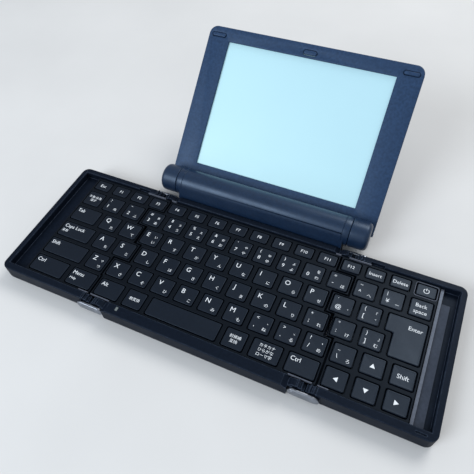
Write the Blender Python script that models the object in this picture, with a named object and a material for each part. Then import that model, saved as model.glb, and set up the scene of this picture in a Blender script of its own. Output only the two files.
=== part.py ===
"""Folding electronic word processor, opened for typing.

Metres, +Z up, X across the keyboard, Y from the typist towards the lid. Places are measured from
the middle of the keyboard, the wings' front face and the table, and the root empty then moves
everything so that the origin lies under the middle of the whole object.
"""

import math

import bmesh
import bpy
from mathutils import Vector

# Clearances and cutting allowances
GAP = 0.0003
OVERRUN = 0.002
MERGE = 0.0005
WELD = 0.0000001

# Case: the fold line between centre and wing, depths and levels
FOLD_X = 0.0715
CORNER_RADIUS = 0.005
PIVOT_HALF_SPACING = 0.006
PIVOT_Z = 0.00705
FOOT_THICKNESS = 0.0005
FLOOR_THICKNESS = 0.0012
WALL = 0.0012
BOTTOM_EDGE_RADIUS = 0.0014
TOP_EDGE_RADIUS = 0.0007
RIM_FLARE = 0.0004
RIM_SLOPE_START_X = 0.0584
RIM_SLOPE_END_X = 0.0625
FRONT_RIM = 0.0050
REAR_RIM = 0.0042
SIDE_RIM = 0.00395
LEDGE = 0.0015
PLATE_LEDGE_Z = 0.0047
DECK_LEDGE_Z = 0.0086
CHANNEL_FLOOR_Z = 0.0075
CHANNEL_FLOOR_THICKNESS = 0.0015
CENTRE_STEP = 0.0023
LATCH_SLOT_X = 0.083
LATCH_SLOT_LENGTH = 0.009
LATCH_SLOT_DEPTH = 0.0013
RIM_SLOT_X = 0.131
RIM_SLOT_LENGTH = 0.006
RIM_SLOT_Y = 0.0018
RIM_SLOT_WIDTH = 0.0010
RIM_SLOT_DEPTH = 0.0010

# Keyboard
COLUMN_PITCH = 0.0170
ROW_PITCH = 0.0155
FUNCTION_ROW_PITCH = 0.0117
COLUMNS = 15
FRONT_KEY_MARGIN = 0.00045
REAR_KEY_MARGIN = 0.00075
CAP_MARGIN_X = 0.002075
CAP_MARGIN_Y = 0.0018
CAP_HEIGHT = 0.0026
CAP_CHAMFER = 0.0003
STEM_SIZE = 0.005
STEM_REACH = 0.0002
APERTURE_GAP = 0.00065
DECK_THICKNESS = 0.0012
PLATE_THICKNESS = 0.0012
SPLIT_HALF_GAP = 0.0006
WIDE_HALF_GAP = 0.00095
TONGUE_LIMIT = 0.0035
LIP_HEIGHT = 0.0012
LIP_THICKNESS = 0.0006
LIP_NEAR_X = 0.0600
LIP_FAR_X = 0.0835
LIP_REACH = 0.0025
POWER_RING_WIDTH = 0.0004
POWER_RING_HEIGHT = 0.0005

# Each row's keys from left to right, and the width of each as a share of the column pitch. A key
# with no name is fused to the plate below it
BOTTOM_ROW = (
    "ctrl_left_key",
    "menu_key",
    "alt_key",
    "non_convert_key",
    "space_bar",
    "convert_key",
    "kana_key",
    "ctrl_right_key",
    "left_key",
    "down_key",
    "right_key",
)
BOTTOM_ROW_SHARES = (1.72, 1.33, 1.25, 1.0, 3.07, 1.03, 1.3, 1.3, 1.0, 1.0, 1.0)
SHIFT_ROW = ("shift_left_key",) + ("",) * 11 + ("up_key", "shift_right_key")
SHIFT_ROW_SHARES = (2.0,) + (1.0,) * 13
HOME_ROW = ("caps_lock_key",) + ("",) * 12 + ("enter_key",)
HOME_ROW_SHARES = (1.71,) + (1.0,) * 12 + (1.29,)
TAB_ROW = ("tab_key",) + ("",) * 12 + ("enter_key",)
TAB_ROW_SHARES = (1.41,) + (1.0,) * 12 + (1.59,)
NUMBER_ROW = ("input_mode_key",) + ("",) * 13 + ("backspace_key",)
NUMBER_ROW_SHARES = (1.0,) * 15
FUNCTION_ROW = ("escape_key",) + ("",) * 12 + ("insert_key", "delete_key", "power_key")
FUNCTION_ROW_SHARES = (0.931,) * 4 + (0.944,) * 8 + (0.931,) * 4

# The rows from front to rear, and how many keys of each belong to the left and right wings
ROWS = (BOTTOM_ROW, SHIFT_ROW, HOME_ROW, TAB_ROW, NUMBER_ROW, FUNCTION_ROW)
WIDTH_SHARES = (
    BOTTOM_ROW_SHARES,
    SHIFT_ROW_SHARES,
    HOME_ROW_SHARES,
    TAB_ROW_SHARES,
    NUMBER_ROW_SHARES,
    FUNCTION_ROW_SHARES,
)
HOME_LINE = ROWS.index(HOME_ROW)
TAB_LINE = ROWS.index(TAB_ROW)
WING_KEYS = {-1: (2, 2, 3, 3, 3, 4), 1: (3, 3, 3, 3, 3, 4)}
WIDE_ROW = {-1: TAB_LINE, 1: HOME_LINE}

# Geared hinge between centre and wing
GEAR_TEETH = 15
GEAR_ADDENDUM = 0.0005
GEAR_DEDENDUM = 0.0007
GEAR_INSET = 0.0003
GEAR_FROM_WALL = 0.0004
TOOTH_THICKNESS_SHARE = 0.36
FLANK_ANGLE = math.radians(20)
CENTRE_TOOTH_STEPS = (0, 1, 2, 3)
WING_TOOTH_STEPS = (-0.5, 0.5, 1.5, 2.5, 3.5)
KNUCKLE_BACK = 0.0008
LINK_THICKNESS = 0.00165
LINK_GAP = 0.00035
LINK_RADIUS = 0.0035
LINK_PIN_RADIUS = 0.0015
LINK_PIN_LENGTH = 0.0042
RIVET_HEAD_RADIUS = 0.0019
RIVET_HEAD_HEIGHT = 0.00025

# Barrel and battery bay
BARREL_BEHIND_CASE = 0.0126
BARREL_Z = 0.0165
BARREL_RADIUS = 0.00975
BARREL_WALL = 0.002
COVER_SIDE_STEP = 0.0005
COVER_BEHIND_CASE = 0.0009
COVER_FOOT_Z = 0.0110
COVER_THICKNESS = 0.002
COVER_SEAT_Z = 0.009
CRADLE_REACH = 0.0022
CELL_RADIUS = 0.00725
CELL_LENGTH = 0.0505
CELL_NUB_RADIUS = 0.00275
CELL_NUB_LENGTH = 0.001
SPRING_SPACE = 0.005
SPRING_TURNS = 3
SPRING_WIRE_RADIUS = 0.0003
SPRING_END_RADIUS = 0.0025
SPRING_BASE_RADIUS = 0.0055
DOOR_FROM_BAY_END = 0.003
DOOR_START_ANGLE = math.radians(-88)
DOOR_END_ANGLE = math.radians(-15)

# Lid, in its own frame: x across, y from the hinge axis to the free edge, z out of the screen
LID_ANGLE = math.radians(41.9)
SIDE_BEZEL = 0.0168
TOP_BEZEL = 0.0097
LID_FACE_Z = -0.010
LID_THICKNESS = 0.0065
LID_CORNER_RADIUS = 0.006
LID_BACK_CHAMFER = 0.002
BEZEL_THICKNESS = 0.0012
WINDOW_WIDTH = 0.1224
WINDOW_START = 0.0155
WINDOW_LENGTH = 0.0906
PANEL_THICKNESS = 0.0012
PANEL_MARGIN = 0.0028
PANEL_LEDGE = 0.0015
BACK_THICKNESS = 0.0015
CAP_LENGTH = 0.0127
CAP_FROM_LID_SIDE = 0.00095
CAP_FILLET = 0.003
CAP_FOOT_LENGTH = 0.0085
CAP_FOOT_RISE = 0.004
CAP_SHELL = 0.002
HINGE_PIN_RADIUS = 0.0025
PIN_FROM_BAY = 0.003
PAD_HEIGHT = 0.0004
PAD_RECESS = 0.0005
PAD_FROM_EDGE = 0.0060
PAD_FROM_SIDE = 0.008
SIDE_PAD_SIZE = (0.0105, 0.0025)
MIDDLE_PAD_SIZE = (0.0095, 0.0030)

# Board, feet and trim
BOARD_HALF_WIDTH = 0.056
BOARD_FROM_RIM = 0.007
BOARD_THICKNESS = 0.0008
CENTRE_FOOT_WIDTH = 0.080
CENTRE_FOOT_DEPTH = 0.005
FRONT_FOOT_Y = 0.0035
REAR_FOOT_BEHIND = 0.0019
WING_FOOT_FROM_SIDE = 0.011
WING_FOOT_WIDTH = 0.006
WING_FOOT_FROM_END = 0.020
STRIP_WIDTH = 0.0019
TRAY_WIDTH = 0.0052
TRAY_THICKNESS = 0.0008
TRAY_LENGTH = 0.080

# Round shapes are drawn with this many straight sides in a full turn, and shade smooth up to
# this angle between faces
SIDES = 36
EDGE_STEPS = 2
SMOOTH_ANGLE = math.radians(35)

# Places worked out from the sizes above
CASE_BOTTOM_Z = FOOT_THICKNESS + GAP
FLOOR_TOP_Z = CASE_BOTTOM_Z + FLOOR_THICKNESS
FOLD_PLANE_Z = PIVOT_Z + PIVOT_HALF_SPACING
RIM_TOP_Z = FOLD_PLANE_Z - GAP / 2
WING_OUTER_X = 2 * FOLD_X - GAP / 2
CHANNEL_OUTER_X = WING_OUTER_X - SIDE_RIM
FIRST_ROW_Y = FRONT_RIM + FRONT_KEY_MARGIN
ROW_EDGES = [FIRST_ROW_Y + ROW_PITCH * k for k in range(len(ROWS))]
ROW_EDGES.append(ROW_EDGES[-1] + FUNCTION_ROW_PITCH)
REAR_RIM_Y = ROW_EDGES[-1] + REAR_KEY_MARGIN
CASE_DEPTH = REAR_RIM_Y + REAR_RIM
PLATE_Z = PLATE_LEDGE_Z + GAP
DECK_Z = DECK_LEDGE_Z + GAP
DECK_TOP_Z = DECK_Z + DECK_THICKNESS
KEYS_HALF_WIDTH = COLUMNS * COLUMN_PITCH / 2
DECK_OUTER_X = KEYS_HALF_WIDTH - GAP
CHANNEL_INNER_X = DECK_OUTER_X + GAP
PLATE_POCKET_X = DECK_OUTER_X - LEDGE
LOW_POCKET_X = PLATE_POCKET_X - LEDGE
WING_INNER_X = FOLD_X + GAP / 2
CENTRE_OUTER_X = FOLD_X - GAP / 2
CENTRE_PIVOT_X = FOLD_X - PIVOT_HALF_SPACING
WING_PIVOT_X = FOLD_X + PIVOT_HALF_SPACING
STEP_HALF_WIDTH = CENTRE_PIVOT_X - LINK_RADIUS - GAP
COVER_HALF_WIDTH = STEP_HALF_WIDTH - COVER_SIDE_STEP
BARREL_Y = CASE_DEPTH + BARREL_BEHIND_CASE
COVER_FOOT_Y = CASE_DEPTH + COVER_BEHIND_CASE
BAY_HALF_LENGTH = CELL_LENGTH + SPRING_SPACE / 2
DOOR_HALF_LENGTH = BAY_HALF_LENGTH - DOOR_FROM_BAY_END
LID_WIDTH = WINDOW_WIDTH + 2 * SIDE_BEZEL
LID_LENGTH = WINDOW_START + WINDOW_LENGTH + TOP_BEZEL
CAP_FAR_X = LID_WIDTH / 2 - CAP_FROM_LID_SIDE
CAP_NEAR_X = CAP_FAR_X - CAP_LENGTH
BARREL_HALF_LENGTH = CAP_NEAR_X - GAP
BAY_RADIUS = BARREL_RADIUS - BARREL_WALL
LID_BACK_Z = LID_FACE_Z - LID_THICKNESS
PANEL_Z = LID_FACE_Z - BEZEL_THICKNESS - GAP


def lid_point_y(along, out):
    """How far back in the room a point of the lid lies, at the angle of the rest pose."""
    return BARREL_Y + along * math.cos(LID_ANGLE) - out * math.sin(LID_ANGLE)


FRONT_Y = -CENTRE_STEP
BACK_Y = max(
    lid_point_y(LID_LENGTH, LID_BACK_Z + LID_BACK_CHAMFER),
    lid_point_y(LID_LENGTH - LID_BACK_CHAMFER, LID_BACK_Z),
)


# Shapes

def loft(shape, sections):
    """Adds a closed body through rings of equally many points."""
    rings = [[shape.verts.new(point) for point in section] for section in sections]
    for low, high in zip(rings, rings[1:]):
        for i in range(len(low)):
            j = (i + 1) % len(low)
            shape.faces.new((low[i], low[j], high[j], high[i]))
    shape.faces.new(rings[0])
    shape.faces.new(rings[-1])


def in_plane(plane, a, b, along):
    """A point from two coordinates in a plane and one along its normal."""
    if plane == "XY":
        return (a, b, along)
    if plane == "XZ":
        return (a, along, b)
    return (along, a, b)


def prism(shape, outline, low, high, plane="XY"):
    """Adds an outline pushed out along the plane's normal."""
    loft(shape, [[in_plane(plane, a, b, along) for a, b in outline] for along in (low, high)])


def box(shape, x, y, z):
    """Adds a box from its three pairs of limits."""
    prism(shape, rectangle(*x, *y), *z)


def rectangle(left, right, front, rear):
    return [(left, front), (right, front), (right, rear), (left, rear)]


def arc(centre, radius, start, end, steps):
    """Points of an arc, both ends included."""
    turn = (end - start) / steps
    return [
        (centre[0] + radius * math.cos(start + turn * i), centre[1] + radius * math.sin(start + turn * i))
        for i in range(steps + 1)
    ]


def circle(centre, radius, sides=SIDES):
    return arc(centre, radius, 0, 2 * math.pi, sides)[:-1]


def plate(shape, outline, holes, low, high):
    """Adds a flat plate with holes, each hole a list of points."""
    edges = []
    for loop in [outline] + holes:
        ring = [shape.verts.new((x, y, low)) for x, y in loop]
        edges += [shape.edges.new(pair) for pair in zip(ring, ring[1:] + ring[:1])]
    filled = bmesh.ops.triangle_fill(shape, use_beauty=True, edges=edges)
    faces = [item for item in filled["geom"] if isinstance(item, bmesh.types.BMFace)]
    raised = bmesh.ops.extrude_face_region(shape, geom=faces, use_keep_orig=True)
    top = [item for item in raised["geom"] if isinstance(item, bmesh.types.BMVert)]
    bmesh.ops.translate(shape, vec=(0, 0, high - low), verts=top)


# Objects

def new_empty(name, parent, location):
    empty = bpy.data.objects.new(name, None)
    empty.parent = parent
    empty.location = location
    bpy.context.scene.collection.objects.link(empty)
    return empty


def new_object(name, shape, material, parent, location=(0, 0, 0), smooth=False):
    """Turns a shape into an object with outward faces, placed below its parent."""
    bmesh.ops.recalc_face_normals(shape, faces=shape.faces)
    mesh = bpy.data.meshes.new(name)
    shape.to_mesh(mesh)
    shape.free()
    if material:
        mesh.materials.append(material)
    if smooth:
        mesh.shade_smooth()
        mesh.set_sharp_from_angle(angle=SMOOTH_ANGLE)
    made = bpy.data.objects.new(name, mesh)
    made.parent = parent
    made.location = location
    bpy.context.scene.collection.objects.link(made)
    return made


def combine(target, shape, operation):
    """Cuts a shape out of an object, or joins it on, with a hidden helper."""
    number = len(target.modifiers)
    helper = new_object(
        f"{target.name}_helper_{number}", shape, None, target.parent, target.location
    )
    helper.hide_render = True
    helper.display_type = "WIRE"
    modifier = target.modifiers.new(f"step_{number}", "BOOLEAN")
    modifier.operation = operation
    modifier.solver = "EXACT"
    modifier.object = helper


def new_material(name, colour, roughness, metallic=0):
    material = bpy.data.materials.new(name)
    material.use_nodes = True
    shader = material.node_tree.nodes["Principled BSDF"]
    shader.inputs["Base Color"].default_value = (*colour, 1)
    shader.inputs["Roughness"].default_value = roughness
    shader.inputs["Metallic"].default_value = metallic
    return material


# Keyboard layout

def row_cells(row):
    """The name and the left and right edges of each key's cell in a row."""
    cells = []
    left = -KEYS_HALF_WIDTH
    for name, share in zip(ROWS[row], WIDTH_SHARES[row]):
        right = left + share * COLUMN_PITCH
        cells.append((name, left, right))
        left = right
    return cells


def split_distance(side, row):
    """How far from the middle the keyboard splits in a row."""
    count = WING_KEYS[side][row]
    edge = row_cells(row)[count][1] if side < 0 else row_cells(row)[-count][1]
    return abs(edge)


def half_gap(side, row):
    return WIDE_HALF_GAP if row == WIDE_ROW[side] else SPLIT_HALF_GAP


def deck_levels(side, of_wing):
    """The distances from the middle at which a key frame ends in each row."""
    direction = 1 if of_wing else -1
    return [
        split_distance(side, row) + direction * half_gap(side, row) for row in range(len(ROWS))
    ]


def wall_levels(side, of_wing):
    """Where a case's wall faces the split: like the deck, but never past the fold line."""
    if of_wing:
        return [max(level, WING_INNER_X) for level in deck_levels(side, True)]
    return [min(level, CENTRE_OUTER_X) for level in deck_levels(side, False)]


def plate_levels(side, of_wing):
    """Where a key plate ends: it reaches into a tongue only as far as the fold lets it."""
    levels = []
    for row in range(len(ROWS)):
        tongue = FOLD_X - split_distance(side, row)
        if of_wing:
            levels.append(FOLD_X - min(tongue - TONGUE_LIMIT, TONGUE_LIMIT))
        else:
            levels.append(FOLD_X + min(-tongue - TONGUE_LIMIT, TONGUE_LIMIT))
    return levels


def pocket_levels(side, of_wing):
    """Where the pocket for a key plate ends: clear of the plate and of the caps at the split."""
    levels = []
    for row, plate_end in enumerate(plate_levels(side, of_wing)):
        if of_wing:
            cap_end = split_distance(side, row) + CAP_MARGIN_X
            levels.append(min(plate_end, cap_end) - GAP)
        else:
            cap_end = split_distance(side, row) - CAP_MARGIN_X
            levels.append(max(plate_end, cap_end) + GAP)
    return levels


def low_pocket_levels(side, of_wing):
    """Where the hollow under a key plate ends, so that the plate's edge rests on a ledge."""
    levels = plate_levels(side, of_wing)
    if of_wing:
        return [max(level + LEDGE, WING_INNER_X + WALL) for level in levels]
    return [min(level - LEDGE, CENTRE_OUTER_X - WALL) for level in levels]


def stepped_line(levels, front, rear, shift):
    """Points (distance from the middle, y) of a stepped edge. Shift opens the steps of a centre
    when positive and of a wing when negative."""
    points = [(levels[0], front)]
    for before, after, y in zip(levels, levels[1:], ROW_EDGES[1:-1]):
        if abs(after - before) > WELD:
            step_y = y + math.copysign(shift, shift * (after - before))
            points += [(before, step_y), (after, step_y)]
    points.append((levels[-1], rear))
    return points


def wing_outline(side, levels, outer, front, rear, shift):
    """An outline from a wing's stepped edge to a straight outer edge."""
    inner = stepped_line(levels, front, rear, -shift)
    return [(side * x, y) for x, y in [(outer, front), (outer, rear)] + inner[::-1]]


def centre_outline(level_function, front, rear, shift):
    """An outline between the centre's two stepped edges."""
    outline = []
    for side in (1, -1):
        levels = level_function(side, False)
        line = [(side * x, y) for x, y in stepped_line(levels, front, rear, shift)]
        outline += line if side > 0 else line[::-1]
    return outline


def cap_outline(left, right, row, margin=0):
    """A key cap's outline, grown by a margin."""
    front = ROW_EDGES[row] + CAP_MARGIN_Y - margin
    rear = ROW_EDGES[row + 1] - CAP_MARGIN_Y + margin
    return rectangle(left + CAP_MARGIN_X - margin, right - CAP_MARGIN_X + margin, front, rear)


def enter_outline(margin=0):
    """The outline of the Enter key, which is wider in its rear row."""
    _, narrow, right = row_cells(HOME_LINE)[-1]
    _, wide, _ = row_cells(TAB_LINE)[-1]
    low = cap_outline(narrow, right, HOME_LINE, margin)
    high = cap_outline(wide, right, TAB_LINE, margin)
    return [low[0], low[1], high[2], high[3], high[0], (low[0][0], high[0][1])]


def keys():
    """Each key once: its name, its body (-1 left wing, 0 centre, 1 right wing), its outline as
    a function of the margin, and its stem's centre."""
    for row in range(len(ROWS)):
        cells = row_cells(row)
        for number, (name, left, right) in enumerate(cells):
            if name == "enter_key" and row == TAB_LINE:
                continue
            body = 0
            if number < WING_KEYS[-1][row]:
                body = -1
            elif number >= len(cells) - WING_KEYS[1][row]:
                body = 1
            if name == "enter_key":
                centre = ((left + right) / 2, ROW_EDGES[row + 1])
                yield name, body, enter_outline, centre
            else:
                centre = ((left + right) / 2, (ROW_EDGES[row] + ROW_EDGES[row + 1]) / 2)
                outline = (lambda margin=0, a=left, b=right, r=row: cap_outline(a, b, r, margin))
                yield name, body, outline, centre


def add_cap(shape, outline_of, z, offset):
    """Adds a key's cap with its chamfered top."""
    low, high = z, z + CAP_HEIGHT
    rings = ((0, low), (0, high - CAP_CHAMFER), (-CAP_CHAMFER, high))
    loft(
        shape,
        [[(x - offset[0], y - offset[1], at) for x, y in outline_of(margin)] for margin, at in rings],
    )


def stem_outline(centre, margin=0):
    half = STEM_SIZE / 2 + margin
    return rectangle(centre[0] - half, centre[0] + half, centre[1] - half, centre[1] + half)


def add_hinge_lips(key_frame, body):
    """Raises the key frame's front and rear edges beside the hinges, where the rims are cut.

    A lip ends LIP_REACH past the fold line, or it would meet the other body on the way up.
    """
    last = len(ROWS) - 1
    edges = (
        (0, FRONT_RIM + GAP, FRONT_RIM + GAP + LIP_THICKNESS),
        (last, REAR_RIM_Y - GAP - LIP_THICKNESS, REAR_RIM_Y - GAP),
    )
    for side in (-1, 1) if body == 0 else (body,):
        levels = deck_levels(side, body != 0)
        for row, front, rear in edges:
            if body:
                limits = (max(levels[row], FOLD_X - LIP_REACH), LIP_FAR_X)
            else:
                limits = (LIP_NEAR_X, min(levels[row], FOLD_X + LIP_REACH))
            lip = bmesh.new()
            side_box(lip, side, *limits, (front, rear), (DECK_TOP_Z - MERGE, DECK_TOP_Z + LIP_HEIGHT))
            combine(key_frame, lip, "UNION")


def make_keyboard(body, deck_outline, plate_outline, parts, label, parent, location):
    """The key frame, the key plate with its fused keys, and the jointed keys of one body."""
    mine = [key for key in keys() if key[1] == body]
    shape = bmesh.new()
    apertures = [outline_of(APERTURE_GAP) for _, _, outline_of, _ in mine]
    plate(shape, deck_outline, apertures, DECK_Z, DECK_TOP_Z)
    key_frame = new_object(f"{label}_key_frame", shape, parts["deck"], parent, location)

    add_hinge_lips(key_frame, body)
    for name, _, outline_of, _ in mine:
        if name == "power_key":
            ring = bmesh.new()
            outer = outline_of(APERTURE_GAP + POWER_RING_WIDTH)
            ring_z = (DECK_TOP_Z - MERGE, DECK_TOP_Z + POWER_RING_HEIGHT)
            plate(ring, outer, [outline_of(APERTURE_GAP)], *ring_z)
            combine(key_frame, ring, "UNION")

    shape = bmesh.new()
    guides = [stem_outline(centre, GAP) for name, _, _, centre in mine if name]
    plate(shape, plate_outline, guides, PLATE_Z, PLATE_Z + PLATE_THICKNESS)
    guide_plate = new_object(f"{label}_key_plate", shape, parts["key"], parent, location)
    stems = bmesh.new()
    caps = bmesh.new()
    for name, _, outline_of, centre in mine:
        if not name:
            stem_low = PLATE_Z + PLATE_THICKNESS - MERGE
            prism(stems, stem_outline(centre), stem_low, DECK_Z + MERGE)
            add_cap(caps, outline_of, DECK_Z, (0, 0))
    combine(guide_plate, stems, "UNION")
    combine(guide_plate, caps, "UNION")

    for name, _, outline_of, centre in mine:
        if name:
            shape = bmesh.new()
            add_cap(shape, outline_of, DECK_Z, centre)
            place = (location[0] + centre[0], location[1] + centre[1], location[2])
            key = new_object(name, shape, parts["key"], parent, place)
            stem = bmesh.new()
            prism(stem, stem_outline((0, 0)), PLATE_Z - STEM_REACH, DECK_Z + MERGE)
            combine(key, stem, "UNION")


# Geared hinge

def gear_outline(pivot_x, direction, tooth_steps):
    """A toothed sector round a pivot. Its teeth go up from the side that the direction names."""
    pitch_radius = PIVOT_HALF_SPACING
    step = 2 * math.pi / GEAR_TEETH
    half = TOOTH_THICKNESS_SHARE * step * pitch_radius / 2
    tip_radius = pitch_radius + GEAR_ADDENDUM
    root_radius = pitch_radius - GEAR_DEDENDUM
    tip = (half - GEAR_ADDENDUM * math.tan(FLANK_ANGLE)) / tip_radius
    root = (half + GEAR_DEDENDUM * math.tan(FLANK_ANGLE)) / root_radius
    marks = []
    for tooth in tooth_steps:
        middle = tooth * step
        marks += [
            (middle - root, root_radius),
            (middle - tip, tip_radius),
            (middle + tip, tip_radius),
            (middle + root, root_radius),
        ]
    first, last = marks[0][0], marks[-1][0]
    rest = 2 * math.pi - (last - first)
    count = SIDES // 2
    marks += [(last + rest * i / count, root_radius) for i in range(1, count)]
    return [
        (pivot_x + direction * radius * math.cos(angle), PIVOT_Z + radius * math.sin(angle))
        for angle, radius in marks
    ]


def gear_spans():
    """The front and rear gears' limits in Y."""
    rear = CASE_DEPTH - GEAR_INSET
    return ((GEAR_INSET, FRONT_RIM - GEAR_FROM_WALL), (REAR_RIM_Y + GEAR_FROM_WALL, rear))


def add_gears(case, side, of_wing):
    """Joins the front and rear toothed sectors to a case and drills them for the links' pins."""
    pivot = WING_PIVOT_X if of_wing else CENTRE_PIVOT_X
    outward = -side if of_wing else side
    steps = WING_TOOTH_STEPS if of_wing else CENTRE_TOOTH_STEPS
    gears = bmesh.new()
    bores = bmesh.new()
    for low, high in gear_spans():
        prism(gears, gear_outline(side * pivot, outward, steps), low, high, "XZ")
        bore = circle((side * pivot, PIVOT_Z), LINK_PIN_RADIUS + GAP, SIDES // 2)
        prism(bores, bore, low - OVERRUN, high + OVERRUN, "XZ")
    combine(case, gears, "UNION")
    combine(case, bores, "DIFFERENCE")


def make_link(name, side, at_rear, material, parent):
    """A plate with two riveted pins, its origin on the centre's pivot."""
    direction = -1 if at_rear else 1
    face_y = CASE_DEPTH + LINK_GAP if at_rear else -LINK_GAP
    outer_y = face_y - direction * LINK_THICKNESS
    half = math.pi / 2
    ends = (side * 2 * PIVOT_HALF_SPACING, 0)
    left, right = min(ends), max(ends)
    outline = arc((right, 0), LINK_RADIUS, -half, half, SIDES // 2)
    outline += arc((left, 0), LINK_RADIUS, half, 3 * half, SIDES // 2)
    shape = bmesh.new()
    prism(shape, outline, min(face_y, outer_y), max(face_y, outer_y), "XZ")
    link = new_object(name, shape, material, parent, smooth=True)
    pins = bmesh.new()
    limits = (face_y - direction * MERGE, face_y + direction * LINK_PIN_LENGTH)
    head_limits = (outer_y - direction * RIVET_HEAD_HEIGHT, outer_y + direction * MERGE)
    for x in ends:
        prism(pins, circle((x, 0), LINK_PIN_RADIUS, SIDES // 2), min(limits), max(limits), "XZ")
        head = circle((x, 0), RIVET_HEAD_RADIUS, SIDES // 2)
        prism(pins, head, min(head_limits), max(head_limits), "XZ")
    combine(link, pins, "UNION")


# Cases

def rect_ring(half_width, front, rear, z):
    return [(x, y, z) for x, y in rectangle(-half_width, half_width, front, rear)]


def wall_stations():
    """(inset, level) up a case's wall, with its bottom and top edges rounded."""
    stations = []
    for level, radius, direction in (
        (CASE_BOTTOM_Z, BOTTOM_EDGE_RADIUS, 1),
        (RIM_TOP_Z, TOP_EDGE_RADIUS, -1),
    ):
        edge = []
        for step in range(EDGE_STEPS + 1):
            angle = math.pi / 2 * step / EDGE_STEPS
            rise = radius * (1 - math.cos(angle))
            edge.append((radius * (1 - math.sin(angle)), level + direction * rise))
        stations += edge[::direction]
    return stations


def rounded_block(shape, half_width, front, rear):
    """A block over the case's full height, its front and rear edges rounded."""
    sections = [
        rect_ring(half_width, front + inset, rear - inset, z) for inset, z in wall_stations()
    ]
    loft(shape, sections)


def wing_ring(side, inset, z):
    """The wing's outline at one level, with rounded outer corners."""
    radius = CORNER_RADIUS - inset
    x = WING_OUTER_X - CORNER_RADIUS
    quarter = math.pi / 2
    steps = SIDES // 6
    points = [(WING_INNER_X, inset)]
    points += arc((x, CORNER_RADIUS), radius, -quarter, 0, steps)
    points += arc((x, CASE_DEPTH - CORNER_RADIUS), radius, 0, quarter, steps)
    points.append((WING_INNER_X, CASE_DEPTH - inset))
    return [(side * px, py, z) for px, py in points]


def side_box(shape, side, near, far, y, z):
    """Adds a box given by distances from the middle."""
    box(shape, (min(side * near, side * far), max(side * near, side * far)), y, z)


def cut_box(case, side, near, far, y, z):
    shape = bmesh.new()
    side_box(shape, side, near, far, y, z)
    combine(case, shape, "DIFFERENCE")


def cut_prism(case, outline, low, high):
    shape = bmesh.new()
    prism(shape, outline, low, high)
    combine(case, shape, "DIFFERENCE")


def cut_pocket(case, left, right):
    """Cuts the keyboard's pocket down to the deck's ledge, its upper edge flared."""
    shape = bmesh.new()
    sections = []
    for margin, z in (
        (0, DECK_LEDGE_Z),
        (0, RIM_TOP_Z - RIM_FLARE),
        (RIM_FLARE + OVERRUN, RIM_TOP_Z + OVERRUN),
    ):
        front, rear = FRONT_RIM - margin, REAR_RIM_Y + margin
        ring = rectangle(left - margin, right + margin, front, rear)
        sections.append([(x, y, z) for x, y in ring])
    loft(shape, sections)
    combine(case, shape, "DIFFERENCE")


def clear_rim_ends(case, side, near, far):
    """Cuts the front and rear rims back to the hinge knuckles, above the floor."""
    z = (FLOOR_TOP_Z, RIM_TOP_Z + OVERRUN)
    cut_box(case, side, near, far, (-CENTRE_STEP - OVERRUN, FRONT_RIM), z)
    cut_box(case, side, near, far, (REAR_RIM_Y, CASE_DEPTH + OVERRUN), z)


def slope_rim_ends(case, side):
    """Slopes the centre's rims down to the key frame's level beside the hinges."""
    far = CENTRE_OUTER_X + OVERRUN
    outline = [
        (side * RIM_SLOPE_START_X, RIM_TOP_Z),
        (side * RIM_SLOPE_END_X, DECK_TOP_Z),
        (side * far, DECK_TOP_Z),
        (side * far, RIM_TOP_Z + OVERRUN),
        (side * RIM_SLOPE_START_X, RIM_TOP_Z + OVERRUN),
    ]
    for low, high in (
        (-CENTRE_STEP - OVERRUN, FRONT_RIM),
        (REAR_RIM_Y, CASE_DEPTH + OVERRUN),
    ):
        shape = bmesh.new()
        prism(shape, outline, low, high, "XZ")
        combine(case, shape, "DIFFERENCE")


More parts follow.
